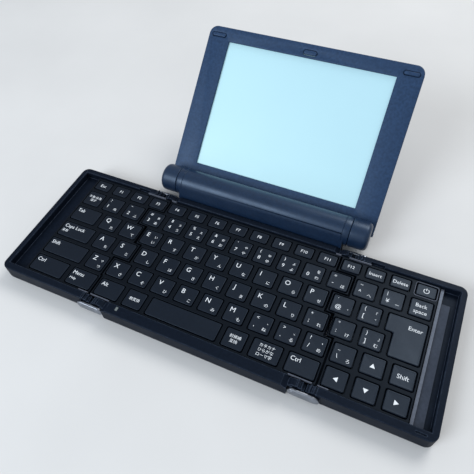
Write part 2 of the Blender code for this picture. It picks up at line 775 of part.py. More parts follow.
def make_wing_case(side, material, parent, location):
    label = "left" if side < 0 else "right"
    shape = bmesh.new()
    loft(shape, [wing_ring(side, inset, z) for inset, z in wall_stations()])
    case = new_object(f"{label}_wing_case", shape, material, parent, location)
    inner = WING_INNER_X - OVERRUN
    above = RIM_TOP_Z + OVERRUN
    clear_rim_ends(case, side, inner, WING_PIVOT_X + KNUCKLE_BACK)

    outside = wing_outline(
        side, wall_levels(side, True), inner, FRONT_RIM - WELD, REAR_RIM_Y + WELD, SPLIT_HALF_GAP
    )
    cut_prism(case, outside, FLOOR_TOP_Z, above)
    pocket_x = (side * inner, side * CHANNEL_OUTER_X)
    cut_pocket(case, min(pocket_x), max(pocket_x))
    deck_pocket = (FRONT_RIM, REAR_RIM_Y)
    channel_z = (CHANNEL_FLOOR_Z, DECK_LEDGE_Z + OVERRUN)
    cut_box(case, side, CHANNEL_INNER_X, CHANNEL_OUTER_X, deck_pocket, channel_z)

    front, rear = FRONT_RIM + LEDGE, REAR_RIM_Y - LEDGE
    levels = pocket_levels(side, True)
    pocket = wing_outline(side, levels, PLATE_POCKET_X, front, rear, SPLIT_HALF_GAP - GAP)
    cut_prism(case, pocket, PLATE_LEDGE_Z, DECK_LEDGE_Z + OVERRUN)
    levels = low_pocket_levels(side, True)
    low_limits = (front + LEDGE, rear - LEDGE)
    pocket = wing_outline(side, levels, LOW_POCKET_X, *low_limits, SPLIT_HALF_GAP + WALL)
    cut_prism(case, pocket, FLOOR_TOP_Z, PLATE_LEDGE_Z + OVERRUN)

    latch_y = (REAR_RIM_Y - OVERRUN, REAR_RIM_Y + LATCH_SLOT_DEPTH)
    cut_box(case, side, LATCH_SLOT_X, LATCH_SLOT_X + LATCH_SLOT_LENGTH, latch_y, (DECK_TOP_Z, above))
    if side > 0:
        slot_x = (RIM_SLOT_X, RIM_SLOT_X + RIM_SLOT_LENGTH)
        slot_y = (RIM_SLOT_Y, RIM_SLOT_Y + RIM_SLOT_WIDTH)
        cut_box(case, side, *slot_x, slot_y, (RIM_TOP_Z - RIM_SLOT_DEPTH, above))

    hollow_z = (FLOOR_TOP_Z, CHANNEL_FLOOR_Z - CHANNEL_FLOOR_THICKNESS)
    cut_box(case, side, LOW_POCKET_X + LEDGE, CHANNEL_OUTER_X, low_limits, hollow_z)
    passage_y = (CASE_DEPTH / 2 - FRONT_RIM, CASE_DEPTH / 2 + FRONT_RIM)
    passage_z = (FLOOR_TOP_Z, PLATE_LEDGE_Z - WALL)
    passage_x = (LOW_POCKET_X - LEDGE, LOW_POCKET_X + 2 * LEDGE)
    cut_box(case, side, *passage_x, passage_y, passage_z)
    add_gears(case, side, True)


def make_centre_case(material, parent):
    shape = bmesh.new()
    rounded_block(shape, CENTRE_OUTER_X, 0, CASE_DEPTH)
    case = new_object("centre_lower_case", shape, material, parent)
    step = bmesh.new()
    rounded_block(step, STEP_HALF_WIDTH, -CENTRE_STEP, FRONT_RIM)
    combine(case, step, "UNION")
    cradle = bmesh.new()
    cradle_rear = BARREL_Y - CRADLE_REACH
    cradle_x = (-COVER_HALF_WIDTH, COVER_HALF_WIDTH)
    box(cradle, cradle_x, (REAR_RIM_Y, cradle_rear), (CASE_BOTTOM_Z, COVER_SEAT_Z))
    combine(case, cradle, "UNION")

    above = RIM_TOP_Z + OVERRUN
    outer = CENTRE_OUTER_X + OVERRUN
    for side in (-1, 1):
        clear_rim_ends(case, side, CENTRE_PIVOT_X - KNUCKLE_BACK, outer)
        slope_rim_ends(case, side)
        line = stepped_line(
            wall_levels(side, False), FRONT_RIM - WELD, REAR_RIM_Y + WELD, SPLIT_HALF_GAP
        )
        outline = line + [(outer, line[-1][1]), (outer, line[0][1])]
        cut_prism(case, [(side * x, y) for x, y in outline], FLOOR_TOP_Z, above)
    cut_pocket(case, -outer, outer)

    front, rear = FRONT_RIM + LEDGE, REAR_RIM_Y - LEDGE
    pocket = centre_outline(pocket_levels, front, rear, SPLIT_HALF_GAP - GAP)
    cut_prism(case, pocket, PLATE_LEDGE_Z, DECK_LEDGE_Z + OVERRUN)
    low_limits = (front + LEDGE, rear - LEDGE)
    pocket = centre_outline(low_pocket_levels, *low_limits, SPLIT_HALF_GAP + WALL)
    cut_prism(case, pocket, FLOOR_TOP_Z, PLATE_LEDGE_Z + OVERRUN)

    for side in (-1, 1):
        add_gears(case, side, False)
    reach = COVER_HALF_WIDTH + OVERRUN
    hollow = bmesh.new()
    prism(hollow, circle((BARREL_Y, BARREL_Z), BARREL_RADIUS + GAP), -reach, reach, "YZ")
    combine(case, hollow, "DIFFERENCE")


# Barrel

def ring_sector(inner, outer, start, end):
    """An outline between two radii and two angles round the barrel's axis."""
    centre = (BARREL_Y, BARREL_Z)
    steps = SIDES // 4
    return arc(centre, outer, start, end, steps) + arc(centre, inner, end, start, steps)


def cover_outline():
    """The sloping cover: tangent to the barrel, down to a foot behind the keyboard."""
    to_foot = Vector((COVER_FOOT_Y - BARREL_Y, COVER_FOOT_Z - BARREL_Z))
    lean = math.acos(BARREL_RADIUS / to_foot.length)
    angle = math.atan2(to_foot.y, to_foot.x) % (2 * math.pi) - lean
    outward = Vector((math.cos(angle), math.sin(angle)))
    tangent = Vector((BARREL_Y, BARREL_Z)) + BARREL_RADIUS * outward
    inner_tangent = tangent - COVER_THICKNESS * outward
    foot = Vector((COVER_FOOT_Y, COVER_FOOT_Z))
    slope = (tangent - foot).normalized()
    inner_foot_y = COVER_FOOT_Y + COVER_THICKNESS + GAP
    inner_start = foot - COVER_THICKNESS * outward
    rise = (inner_foot_y - inner_start.x) / slope.x * slope.y
    low = COVER_SEAT_Z + GAP
    return [
        (COVER_FOOT_Y, low),
        (inner_foot_y, low),
        (inner_foot_y, inner_start.y + rise),
        tuple(inner_tangent),
        tuple(tangent),
        tuple(foot),
    ]


def make_barrel(material, parent):
    centre = (BARREL_Y, BARREL_Z)
    shape = bmesh.new()
    prism(shape, circle(centre, BARREL_RADIUS), -BARREL_HALF_LENGTH, BARREL_HALF_LENGTH, "YZ")
    barrel = new_object("battery_barrel", shape, material, parent, smooth=True)
    cover = bmesh.new()
    prism(cover, cover_outline(), -COVER_HALF_WIDTH, COVER_HALF_WIDTH, "YZ")
    combine(barrel, cover, "UNION")
    bay = bmesh.new()
    prism(bay, circle(centre, BAY_RADIUS), -BAY_HALF_LENGTH, BAY_HALF_LENGTH, "YZ")
    combine(barrel, bay, "DIFFERENCE")
    bore = bmesh.new()
    reach = BARREL_HALF_LENGTH + OVERRUN
    prism(bore, circle(centre, HINGE_PIN_RADIUS + GAP), -reach, reach, "YZ")
    combine(barrel, bore, "DIFFERENCE")
    window = bmesh.new()
    edge = GAP / BARREL_RADIUS
    sector = ring_sector(
        BAY_RADIUS - OVERRUN,
        BARREL_RADIUS + OVERRUN,
        DOOR_START_ANGLE - edge,
        DOOR_END_ANGLE + edge,
    )
    half = DOOR_HALF_LENGTH + GAP
    prism(window, sector, -half, half, "YZ")
    combine(barrel, window, "DIFFERENCE")


def make_door(material, parent):
    shape = bmesh.new()
    sector = ring_sector(BAY_RADIUS, BARREL_RADIUS, DOOR_START_ANGLE, DOOR_END_ANGLE)
    prism(shape, sector, -DOOR_HALF_LENGTH, DOOR_HALF_LENGTH, "YZ")
    new_object("battery_door", shape, material, parent, smooth=True)


def make_cell(name, start, material, parent):
    """A round dry cell with its contact nub towards +X."""
    centre = (BARREL_Y, BARREL_Z)
    shoulder = start + CELL_LENGTH - CELL_NUB_LENGTH
    stations = (
        (start, CELL_RADIUS),
        (shoulder, CELL_RADIUS),
        (shoulder, CELL_NUB_RADIUS),
        (start + CELL_LENGTH, CELL_NUB_RADIUS),
    )
    shape = bmesh.new()
    loft(shape, [[(x, y, z) for y, z in circle(centre, radius)] for x, radius in stations])
    new_object(name, shape, material, parent, smooth=True)


def make_spring(start, end, material, parent):
    """A conical contact spring along the barrel's axis."""
    curve = bpy.data.curves.new("battery_spring", "CURVE")
    curve.dimensions = "3D"
    curve.bevel_depth = SPRING_WIRE_RADIUS
    curve.bevel_resolution = 1
    curve.use_fill_caps = True
    per_turn = SIDES // 3
    count = SPRING_TURNS * per_turn + 1
    spline = curve.splines.new("POLY")
    spline.points.add(count - 1)
    for i in range(count):
        along = i / (count - 1)
        angle = 2 * math.pi * i / per_turn
        radius = SPRING_END_RADIUS + (SPRING_BASE_RADIUS - SPRING_END_RADIUS) * along
        spline.points[i].co = (
            start + (end - start) * along,
            BARREL_Y + radius * math.cos(angle),
            BARREL_Z + radius * math.sin(angle),
            1,
        )
    curve.materials.append(material)
    made = bpy.data.objects.new("battery_spring", curve)
    made.parent = parent
    bpy.context.scene.collection.objects.link(made)


def make_battery(parts, parent):
    first = -BAY_HALF_LENGTH + GAP
    second = first + CELL_LENGTH + GAP
    make_cell("left_aa_cell", first, parts["cell"], parent)
    make_cell("right_aa_cell", second, parts["cell"], parent)
    wire = SPRING_WIRE_RADIUS + GAP
    start = second + CELL_LENGTH + wire
    make_spring(start, BAY_HALF_LENGTH - wire, parts["steel"], parent)


# Lid, built in its own frame round the hinge axis

def lid_ring(inset, z, margin=0):
    """The lid's outline, rounded at the free edge. Margin keeps a second outline inside it."""
    half = LID_WIDTH / 2 - inset - margin
    radius = LID_CORNER_RADIUS - inset
    top = LID_LENGTH - inset - margin
    quarter = math.pi / 2
    steps = SIDES // 6
    points = [(-half, inset + margin), (half, inset + margin)]
    points += arc((half - radius, top - radius), radius, 0, quarter, steps)
    points += arc((radius - half, top - radius), radius, quarter, 2 * quarter, steps)
    return [(x, y, z) for x, y in points]


def window_outline(margin):
    half = WINDOW_WIDTH / 2 + margin
    return rectangle(-half, half, WINDOW_START - margin, WINDOW_START + WINDOW_LENGTH + margin)


def pad_places():
    """The name, middle and size of each rubber pad on the bezel."""
    y = LID_LENGTH - PAD_FROM_EDGE
    return (
        ("left_lid_pad", PAD_FROM_SIDE - LID_WIDTH / 2, y, SIDE_PAD_SIZE),
        ("middle_lid_pad", 0, y, MIDDLE_PAD_SIZE),
        ("right_lid_pad", LID_WIDTH / 2 - PAD_FROM_SIDE, y, SIDE_PAD_SIZE),
    )


def pad_outline(x, y, size, margin=0):
    half_x, half_y = size[0] / 2 + margin, size[1] / 2 + margin
    return rectangle(x - half_x, x + half_x, y - half_y, y + half_y)


def make_bezel(parts, parent):
    shape = bmesh.new()
    outline = [point[:2] for point in lid_ring(0, 0)]
    low = LID_FACE_Z - BEZEL_THICKNESS
    plate(shape, outline, [window_outline(0)], low, LID_FACE_Z)
    bezel = new_object("display_bezel", shape, parts["lid"], parent)
    recesses = bmesh.new()
    for name, x, y, size in pad_places():
        floor = LID_FACE_Z - PAD_RECESS
        prism(recesses, pad_outline(x, y, size, GAP), floor, LID_FACE_Z + OVERRUN)
        pad = bmesh.new()
        prism(pad, pad_outline(x, y, size), floor + GAP, LID_FACE_Z + PAD_HEIGHT)
        new_object(name, pad, parts["rubber"], parent)
    combine(bezel, recesses, "DIFFERENCE")


def make_panel(material, parent):
    shape = bmesh.new()
    prism(shape, window_outline(PANEL_MARGIN), PANEL_Z - PANEL_THICKNESS, PANEL_Z)
    new_object("e_paper_panel", shape, material, parent)


def make_back_cover(material, parent):
    shape = bmesh.new()
    loft(
        shape,
        [
            lid_ring(LID_BACK_CHAMFER, LID_BACK_Z),
            lid_ring(0, LID_BACK_Z + LID_BACK_CHAMFER),
            lid_ring(0, PANEL_Z),
        ],
    )
    cover = new_object("display_back_cover", shape, material, parent)
    seat_z = PANEL_Z - PANEL_THICKNESS - GAP
    cut_prism(cover, window_outline(PANEL_MARGIN + GAP), seat_z, PANEL_Z + OVERRUN)
    inner = window_outline(PANEL_MARGIN - PANEL_LEDGE)
    cut_prism(cover, inner, LID_BACK_Z + BACK_THICKNESS, seat_z + OVERRUN)


def make_hinge_cap(side, material, parent):
    """A round lid knuckle with a foot on the bezel and a blind bore for the hinge pin."""
    label = "left" if side < 0 else "right"
    near, far = CAP_NEAR_X, CAP_FAR_X
    quarter = math.pi / 2
    steps = SIDES // 9
    stations = [(near, BARREL_RADIUS)]
    for x, radius in arc((far - CAP_FILLET, BARREL_RADIUS - CAP_FILLET), CAP_FILLET, quarter, 0, steps):
        stations.append((x, radius))
    shape = bmesh.new()
    loft(shape, [[(side * x, y, z) for y, z in circle((0, 0), r)] for x, r in stations])
    cap = new_object(f"{label}_hinge_cap", shape, material, parent, smooth=True)
    foot = bmesh.new()
    foot_z = (LID_FACE_Z + GAP, LID_FACE_Z + CAP_FOOT_RISE)
    side_box(foot, side, near, far - CAP_FILLET, (0, CAP_FOOT_LENGTH), foot_z)
    combine(cap, foot, "UNION")
    bore = bmesh.new()
    ends = (side * (near - OVERRUN), side * (far - CAP_SHELL))
    prism(bore, circle((0, 0), HINGE_PIN_RADIUS + GAP), min(ends), max(ends), "YZ")
    combine(cap, bore, "DIFFERENCE")


def make_hinge_pin(side, material, parent):
    label = "left" if side < 0 else "right"
    far = CAP_FAR_X - CAP_SHELL - GAP
    ends = (side * (BAY_HALF_LENGTH + PIN_FROM_BAY), side * far)
    shape = bmesh.new()
    prism(shape, circle((0, 0), HINGE_PIN_RADIUS), min(ends), max(ends), "YZ")
    new_object(f"{label}_hinge_pin", shape, material, parent, smooth=True)


def make_lid(parts, parent):
    make_bezel(parts, parent)
    make_panel(parts["screen"], parent)
    make_back_cover(parts["lid"], parent)
    for side in (-1, 1):
        make_hinge_cap(side, parts["lid"], parent)
        make_hinge_pin(side, parts["steel"], parent)


# Bodies

def make_foot(name, x, y, material, parent, location=(0, 0, 0)):
    shape = bmesh.new()
    box(shape, x, y, (0, FOOT_THICKNESS))
    new_object(name, shape, material, parent, location)


def make_centre(parts, parent):
    make_centre_case(parts["case"], parent)
    front, rear = FRONT_RIM + GAP, REAR_RIM_Y - GAP
    deck = centre_outline(deck_levels, front, rear, SPLIT_HALF_GAP)
    guide = centre_outline(plate_levels, front + LEDGE, rear - LEDGE, SPLIT_HALF_GAP)
    make_keyboard(0, deck, guide, parts, "centre", parent, (0, 0, 0))
    board = bmesh.new()
    board_z = (FLOOR_TOP_Z + GAP, FLOOR_TOP_Z + GAP + BOARD_THICKNESS)
    board_y = (FRONT_RIM + BOARD_FROM_RIM, REAR_RIM_Y - BOARD_FROM_RIM)
    box(board, (-BOARD_HALF_WIDTH, BOARD_HALF_WIDTH), board_y, board_z)
    new_object("main_circuit_board", board, parts["board"], parent)
    half = CENTRE_FOOT_WIDTH / 2
    rear_foot_y = CASE_DEPTH + REAR_FOOT_BEHIND
    for name, y in (("centre_front_foot", FRONT_FOOT_Y), ("centre_rear_foot", rear_foot_y)):
        make_foot(name, (-half, half), (y, y + CENTRE_FOOT_DEPTH), parts["rubber"], parent)
    make_barrel(parts["case"], parent)
    make_door(parts["case"], parent)
    make_battery(parts, parent)


def make_wing(side, parts, root):
    label = "left" if side < 0 else "right"
    pivot = (side * WING_PIVOT_X, 0, PIVOT_Z)
    back = tuple(-value for value in pivot)
    parent = new_empty(f"{label}_wing_axis", root, pivot)
    make_wing_case(side, parts["case"], parent, back)
    front, rear = FRONT_RIM + GAP, REAR_RIM_Y - GAP
    levels = deck_levels(side, True)
    deck = wing_outline(side, levels, DECK_OUTER_X, front, rear, SPLIT_HALF_GAP)
    plate_front, plate_rear = front + LEDGE, rear - LEDGE
    plate_outer = PLATE_POCKET_X - GAP
    levels = plate_levels(side, True)
    guide = wing_outline(side, levels, plate_outer, plate_front, plate_rear, SPLIT_HALF_GAP)
    make_keyboard(side, deck, guide, parts, f"{label}_wing", parent, back)
    foot_outer = WING_OUTER_X - WING_FOOT_FROM_SIDE
    foot_x = (side * (foot_outer - WING_FOOT_WIDTH), side * foot_outer)
    foot_y = (WING_FOOT_FROM_END, CASE_DEPTH - WING_FOOT_FROM_END)
    foot_x = (min(foot_x), max(foot_x))
    make_foot(f"{label}_wing_foot", foot_x, foot_y, parts["rubber"], parent, back)
    if side > 0:
        strip = bmesh.new()
        near = CHANNEL_INNER_X + GAP
        strip_z = (CHANNEL_FLOOR_Z + GAP, DECK_TOP_Z)
        box(strip, (near, near + STRIP_WIDTH), (front, rear), strip_z)
        new_object("right_trim_strip", strip, parts["silver"], parent, back)
        tray = bmesh.new()
        near += STRIP_WIDTH + GAP
        tray_low = CHANNEL_FLOOR_Z + GAP
        tray_z = (tray_low, tray_low + TRAY_THICKNESS)
        box(tray, (near, near + TRAY_WIDTH), (front, front + TRAY_LENGTH), tray_z)
        new_object("right_tray_panel", tray, parts["deck"], parent, back)


def make_links(side, parts, root):
    label = "left" if side < 0 else "right"
    parent = new_empty(f"{label}_link_axis", root, (side * CENTRE_PIVOT_X, 0, PIVOT_Z))
    make_link(f"{label}_front_hinge_link", side, False, parts["silver"], parent)
    make_link(f"{label}_rear_hinge_link", side, True, parts["silver"], parent)


def main():
    for old in list(bpy.data.objects):
        bpy.data.objects.remove(old)
    parts = {
        "case": new_material("case_plastic", (0.010, 0.012, 0.018), 0.45),
        "deck": new_material("deck_plastic", (0.008, 0.009, 0.013), 0.5),
        "key": new_material("key_plastic", (0.014, 0.016, 0.023), 0.55),
        "lid": new_material("lid_plastic", (0.012, 0.017, 0.032), 0.45),
        "screen": new_material("screen", (0.62, 0.85, 0.95), 0.4),
        "silver": new_material("plated_metal", (0.55, 0.58, 0.64), 0.25, 1),
        "steel": new_material("steel", (0.5, 0.5, 0.5), 0.35, 1),
        "cell": new_material("cell_jacket", (0.35, 0.36, 0.38), 0.4),
        "rubber": new_material("rubber", (0.012, 0.012, 0.013), 0.8),
        "board": new_material("circuit_board", (0.02, 0.12, 0.05), 0.5),
    }
    root = new_empty("word_processor", None, (0, -(FRONT_Y + BACK_Y) / 2, 0))
    make_centre(parts, root)
    for side in (-1, 1):
        make_links(side, parts, root)
        make_wing(side, parts, root)
    lid_axis = new_empty("lid_axis", root, (0, BARREL_Y, BARREL_Z))
    lid_axis.rotation_euler = (LID_ANGLE, 0, 0)
    make_lid(parts, lid_axis)


main()
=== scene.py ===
"""Looks of the folding electronic word processor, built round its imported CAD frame.

Sizes are metres. Places on the keyboard are measured as in the CAD source: X from the middle,
Y from the wings' front face and Z from the table. Places on the lid are in the lid's own frame,
with y from the hinge axis to the free edge and z out of the screen.
"""

import math
from collections import namedtuple
from functools import partial

import bmesh
import bpy
from mathutils import Euler, Matrix, Vector


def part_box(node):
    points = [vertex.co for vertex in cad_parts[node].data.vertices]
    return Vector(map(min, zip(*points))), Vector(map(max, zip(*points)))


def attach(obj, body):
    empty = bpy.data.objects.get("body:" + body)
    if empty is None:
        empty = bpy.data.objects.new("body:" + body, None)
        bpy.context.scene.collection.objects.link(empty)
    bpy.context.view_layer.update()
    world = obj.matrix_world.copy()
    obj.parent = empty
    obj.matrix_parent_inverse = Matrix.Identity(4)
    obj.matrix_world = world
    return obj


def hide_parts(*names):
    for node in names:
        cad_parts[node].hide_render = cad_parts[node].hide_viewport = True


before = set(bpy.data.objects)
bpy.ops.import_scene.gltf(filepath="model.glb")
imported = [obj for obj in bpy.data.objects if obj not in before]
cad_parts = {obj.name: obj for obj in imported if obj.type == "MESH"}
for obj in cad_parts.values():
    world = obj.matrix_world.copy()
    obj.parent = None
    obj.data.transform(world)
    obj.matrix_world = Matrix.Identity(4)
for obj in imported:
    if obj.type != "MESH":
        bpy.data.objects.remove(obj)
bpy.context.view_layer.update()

MM = 0.001
WHOLE_TURN = 2 * math.pi
QUARTER_TURN = math.pi / 2
SHARP_ANGLE = math.radians(35)
FIT_GAP = 0.3 * MM
CUT_OVERRUN = 1.0 * MM

# Camera at the photograph's angle
CAMERA_PLACE = (0.0897, -0.2003875, 0.2786)
CAMERA_TURN = (37.3229, 2.7927, 24.3748)
CAMERA_LENS = 37.348
CAMERA_SENSOR = 36.0
CAMERA_NEAR = 0.01

# Levels and limits of the case, as the CAD has them
FRONT_FACE_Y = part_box("left_wing_case")[0].y
CASE_PLACE = Matrix.Translation((0, FRONT_FACE_Y, 0))
DECK_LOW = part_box("centre_key_frame")[0].z
DECK_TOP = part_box("centre_key_frame")[1].z
CAP_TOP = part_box("space_bar")[1].z
PLATE_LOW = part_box("centre_key_plate")[0].z
STEM_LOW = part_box("space_bar")[0].z
PLATE_THICKNESS = 1.2 * MM
FRONT_RIM = 5.0 * MM
REAR_RIM_Y = 95.4 * MM
CASE_DEPTH = 99.6 * MM
RIM_TOP = 12.9 * MM
FOLD_X = 71.5 * MM
CHANNEL_INNER_X = 127.5 * MM

# Keyboard
COLUMN_PITCH = 17.0 * MM
ROW_PITCH = 15.5 * MM
FUNCTION_PITCH = 11.7 * MM
FIRST_ROW_Y = 5.45 * MM
KEYS_HALF_WIDTH = 7.5 * COLUMN_PITCH
CAP_MARGIN_X = 2.075 * MM
CAP_MARGIN_Y = 1.8 * MM
CAP_CORNER = 1.0 * MM
LEAST_CORNER = 0.2 * MM
CAP_EDGE = 0.4 * MM
CAP_EDGE_STEPS = 4
CAP_SLOPE = 0.9 * MM
CAP_DISH = 0.07 * MM
CAP_DISH_SHARE = 0.7
APERTURE_GAP = 0.65 * MM
APERTURE_CORNER = 1.3 * MM
STEM_SIZE = 5.0 * MM
SPLIT_HALF_GAP = 0.6 * MM
WIDE_HALF_GAP = 0.95 * MM
DECK_EDGE = 0.18 * MM
DECK_FRONT = FRONT_RIM + FIT_GAP
DECK_REAR = REAR_RIM_Y - FIT_GAP
DECK_OUTER_X = CHANNEL_INNER_X - FIT_GAP
PLATE_INSET = 1.5 * MM
PLATE_EDGE = 0.1 * MM
LEAST_STEP = 0.01 * MM
TONGUE_LIMIT = 3.5 * MM
WING_KEYS = {-1: (2, 2, 3, 3, 3, 4), 1: (3, 3, 3, 3, 3, 4)}
WIDE_ROW = {-1: 3, 1: 2}
LIP_HEIGHT = 1.2 * MM
LIP_THICKNESS = 0.6 * MM
LIP_EDGE = 0.12 * MM
LIP_NEAR_X = 60.0 * MM
LIP_FAR_X = 83.5 * MM
LIP_REACH = 2.5 * MM
POWER_RING_WIDTH = 0.4 * MM
POWER_RING_HEIGHT = 0.5 * MM

# Legends: their sizes, and their places as shares of a cap's half width and half depth
LEGEND_LIFT = 0.012 * MM
LEGEND_Z = CAP_TOP - CAP_DISH + LEGEND_LIFT
LEGEND_WEIGHT = -0.001
CAPITAL_MIDDLE_SHARE = 0.35
LETTER_SIZE = 4.7 * MM
DIGIT_SIZE = 3.9 * MM
SIGN_SIZE = 3.2 * MM
KANA_SIZE = 2.8 * MM
WORD_SIZE = 3.85 * MM
SMALL_WORD_SIZE = 2.5 * MM
BACKSPACE_SIZE = WORD_SIZE * 0.95
FUNCTION_SIZE = 3.2 * MM
ESCAPE_SIZE = FUNCTION_SIZE * 1.15
EDIT_SIZE = FUNCTION_SIZE * 1.1
POWER_SIZE = FUNCTION_SIZE * 1.4
ARROW_SIZE = 3.4 * MM
LINE_STEP = 1.22
WORD_INDENT = 1.5 * MM
ENTER_WORD_INDENT = 2.0 * MM
ENTER_WORD_RISE = 6.2 * MM
LETTER_SHARES = (-0.62, 0.38)
LETTER_KANA_SHARES = (0.66, -0.52)
LETTER_SMALL_KANA_SHARES = (0.66, 0.28)
LOWER_SIGN_SHARES = (-0.60, -0.30)
UPPER_SIGN_SHARES = (-0.60, 0.58)
SIGN_KANA_SHARES = (0.68, -0.52)
SIGN_SMALL_KANA_SHARES = (0.68, 0.28)
WORD_HEIGHT_SHARE = 0.46
LOWER_WORD_HEIGHT_SHARE = -0.26

# Barrel and lid
BARREL_Y = 112.2 * MM
BARREL_Z = 16.5 * MM
BARREL_CENTRE = (BARREL_Y, BARREL_Z)
BARREL_RADIUS = 9.75 * MM
BARREL_HALF_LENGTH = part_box("battery_barrel")[1].x
LID_ANGLE = math.radians(41.9)
LID_PLACE = (
    Matrix.Translation((0, FRONT_FACE_Y + BARREL_Y, BARREL_Z)) @ Matrix.Rotation(LID_ANGLE, 4, "X")
)
LID_FACE = -10.0 * MM
LID_THICKNESS = 6.5 * MM
LID_HALF_WIDTH = 78.0 * MM
LID_LENGTH = 115.8 * MM
LID_CORNER = 6.0 * MM
WINDOW_HALF_WIDTH = 61.2 * MM
WINDOW_START = 15.5 * MM
WINDOW_END = 106.1 * MM
ROUND_STEPS = 96
COVER_HALF_WIDTH = 61.2 * MM
COVER_FOOT_Y = 100.5 * MM
COVER_FOOT_Z = 11.0 * MM
COVER_THICKNESS = 2.0 * MM
COVER_LOW = 9.3 * MM
COVER_EDGE = 0.6 * MM
COVER_EDGE_SHARES = (0.3, 0.2)
BARREL_WALL = 2.0 * MM
BARREL_EDGE = 0.35 * MM
BAY_HALF_LENGTH = 53.0 * MM
END_GROOVE_X = 59.6 * MM
END_GROOVE_DEPTH = 0.25 * MM
DOOR_HALF_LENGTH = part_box("battery_door")[1].x
DOOR_START = math.radians(-88)
DOOR_END = math.radians(-15)
RIB_COUNT = 6
RIB_START = 6.0 * MM
RIB_PITCH = 1.6 * MM
RIB_WIDTH = 0.7 * MM
RIB_ROOT = 0.1 * MM
RIB_HEIGHT = 0.2 * MM
RIB_HALF_ANGLE = 0.22
PIN_RADIUS = 2.5 * MM
CAP_NEAR_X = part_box("right_hinge_cap")[0].x
CAP_FAR_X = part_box("right_hinge_cap")[1].x
CAP_FILLET = 3.0 * MM
CAP_FOOT_LENGTH = 8.5 * MM
CAP_FOOT_RISE = 4.0 * MM
CAP_FOOT_EDGE = 0.5 * MM
CAP_FOOT_LEAN = 0.6 * MM
CAP_CHAMFER = 0.3 * MM
CAP_SHELL = 2.0 * MM
BEZEL_THICKNESS = 1.2 * MM
BEZEL_EDGE = 0.45 * MM
WINDOW_CORNER = 0.5 * MM
LID_SEAM = 0.2 * MM
LID_BACK_EDGE = 2.0 * MM
PANEL_TOP = -11.5 * MM
PANEL_THICKNESS = 1.2 * MM
PAD_Y = 109.8 * MM
PAD_HEIGHT = 0.45 * MM
PAD_GAP = 0.35 * MM
PAD_EDGE = 0.4 * MM
PAD_ROUND_SHARE = 0.98
PANEL_MARGIN = 3.1 * MM

# Hinge links and small trim
CENTRE_PIVOT_X = 65.5 * MM
WING_PIVOT_X = 77.5 * MM
PIVOT_Z = 7.05 * MM
LINK_THICKNESS = 1.65 * MM
LINK_GAP = 0.35 * MM
LINK_RADIUS = 3.5 * MM
LINK_EDGE = 0.45 * MM
LINK_PIN_RADIUS = 1.5 * MM
LINK_PIN_LENGTH = 4.2 * MM
LINK_ROOT = 0.1 * MM
PIN_SIDES = 40
RIVET_RADIUS = 1.9 * MM
RIVET_HEIGHT = 0.25 * MM
RIVET_SHARES = ((0, 0.4), (0.25, 0.8), (0.6, 1))
LAMP_PLACE = (-52.0 * MM, 2.4 * MM)
LAMP_HALF_WIDTH = 0.8 * MM
LAMP_HALF_LENGTH = 1.3 * MM
LAMP_CORNER = 0.3 * MM
LAMP_DEPTH = 0.6 * MM
LAMP_STAND = 0.05 * MM
CASE_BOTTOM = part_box("centre_lower_case")[0].z
SCREW_SIDES = 32
SCREW_RADIUS = 1.9 * MM
SCREW_DEPTH = 1.0 * MM
SCREW_STAND = 0.12 * MM
SCREW_INSETS = (0.5 * MM, 0.35 * MM, 0.08 * MM, 0)
SCREW_STAND_SHARES = (1 / 3, 1, 0.8, 1 / 3)
SLOT_HALF_LENGTH = 1.0 * MM
SLOT_HALF_WIDTH = 0.15 * MM
SLOT_CORNER = 0.1 * MM
SLOT_EDGE = 0.04 * MM
SLOT_STAND = SCREW_STAND * 1.2
CENTRE_SCREWS = ((-58 * MM, 14 * MM), (58 * MM, 14 * MM), (-58 * MM, 88 * MM), (58 * MM, 88 * MM))
WING_SCREWS = ((84 * MM, 14 * MM), (84 * MM, 86 * MM), (126 * MM, 10 * MM), (126 * MM, 90 * MM))
SCREWS = {
    "base": CENTRE_SCREWS,
    "left_wing": [(-x, y) for x, y in WING_SCREWS],
    "right_wing": WING_SCREWS,
}
PADS = (
    ("left_lid_pad", -70.0 * MM, 10.5 * MM, 2.5 * MM),
    ("middle_lid_pad", 0.0, 9.5 * MM, 3.0 * MM),
    ("right_lid_pad", 70.0 * MM, 10.5 * MM, 2.5 * MM),
)

# Floor and light: each lamp's name, place, size across, power and colour
FLOOR_HALF = 3.0
FLOOR_CLOUD_SIZE = 0.12
FLOOR_COLOURS = ((0.66, 0.665, 0.67), (0.70, 0.705, 0.71))
SKY_COLOUR = (0.90, 0.95, 1.0)
SKY_STRENGTH = 0.55
LIGHTS = (
    ("window_lamp", (-0.55, -0.95, 0.75), 0.7, 10, (0.88, 0.94, 1.0)),
    ("rear_lamp", (0.35, 0.75, 1.0), 0.7, 8, (1.0, 0.98, 0.95)),
)


# Shapes

def arc(centre, radius, start, end, steps):
    """Points of an arc, both ends included."""
    x, y = centre
    angles = [start + (end - start) / steps * i for i in range(steps + 1)]
    return [(x + radius * math.cos(angle), y + radius * math.sin(angle)) for angle in angles]


def circle(centre, radius, sides):
    return arc(centre, radius, 0, WHOLE_TURN, sides)[:-1]


def rectangle(left, right, front, rear):
    return [(left, front), (right, front), (right, rear), (left, rear)]


def centred(x, y, half_x, half_y):
    """A rectangle round a point."""
    return rectangle(x - half_x, x + half_x, y - half_y, y + half_y)


def rounded(outline, radius, steps=4):
    """An outline with every corner rounded."""
    points = []
    count = len(outline)
    for i, corner in enumerate(outline):
        corner = Vector(corner)
        back = (Vector(outline[i - 1]) - corner).normalized() * radius
        ahead = (Vector(outline[(i + 1) % count]) - corner).normalized() * radius
        for k in range(steps + 1):
            angle = QUARTER_TURN * k / steps
            point = corner + back * (1 - math.sin(angle)) + ahead * (1 - math.cos(angle))
            points.append(tuple(point))
    return points


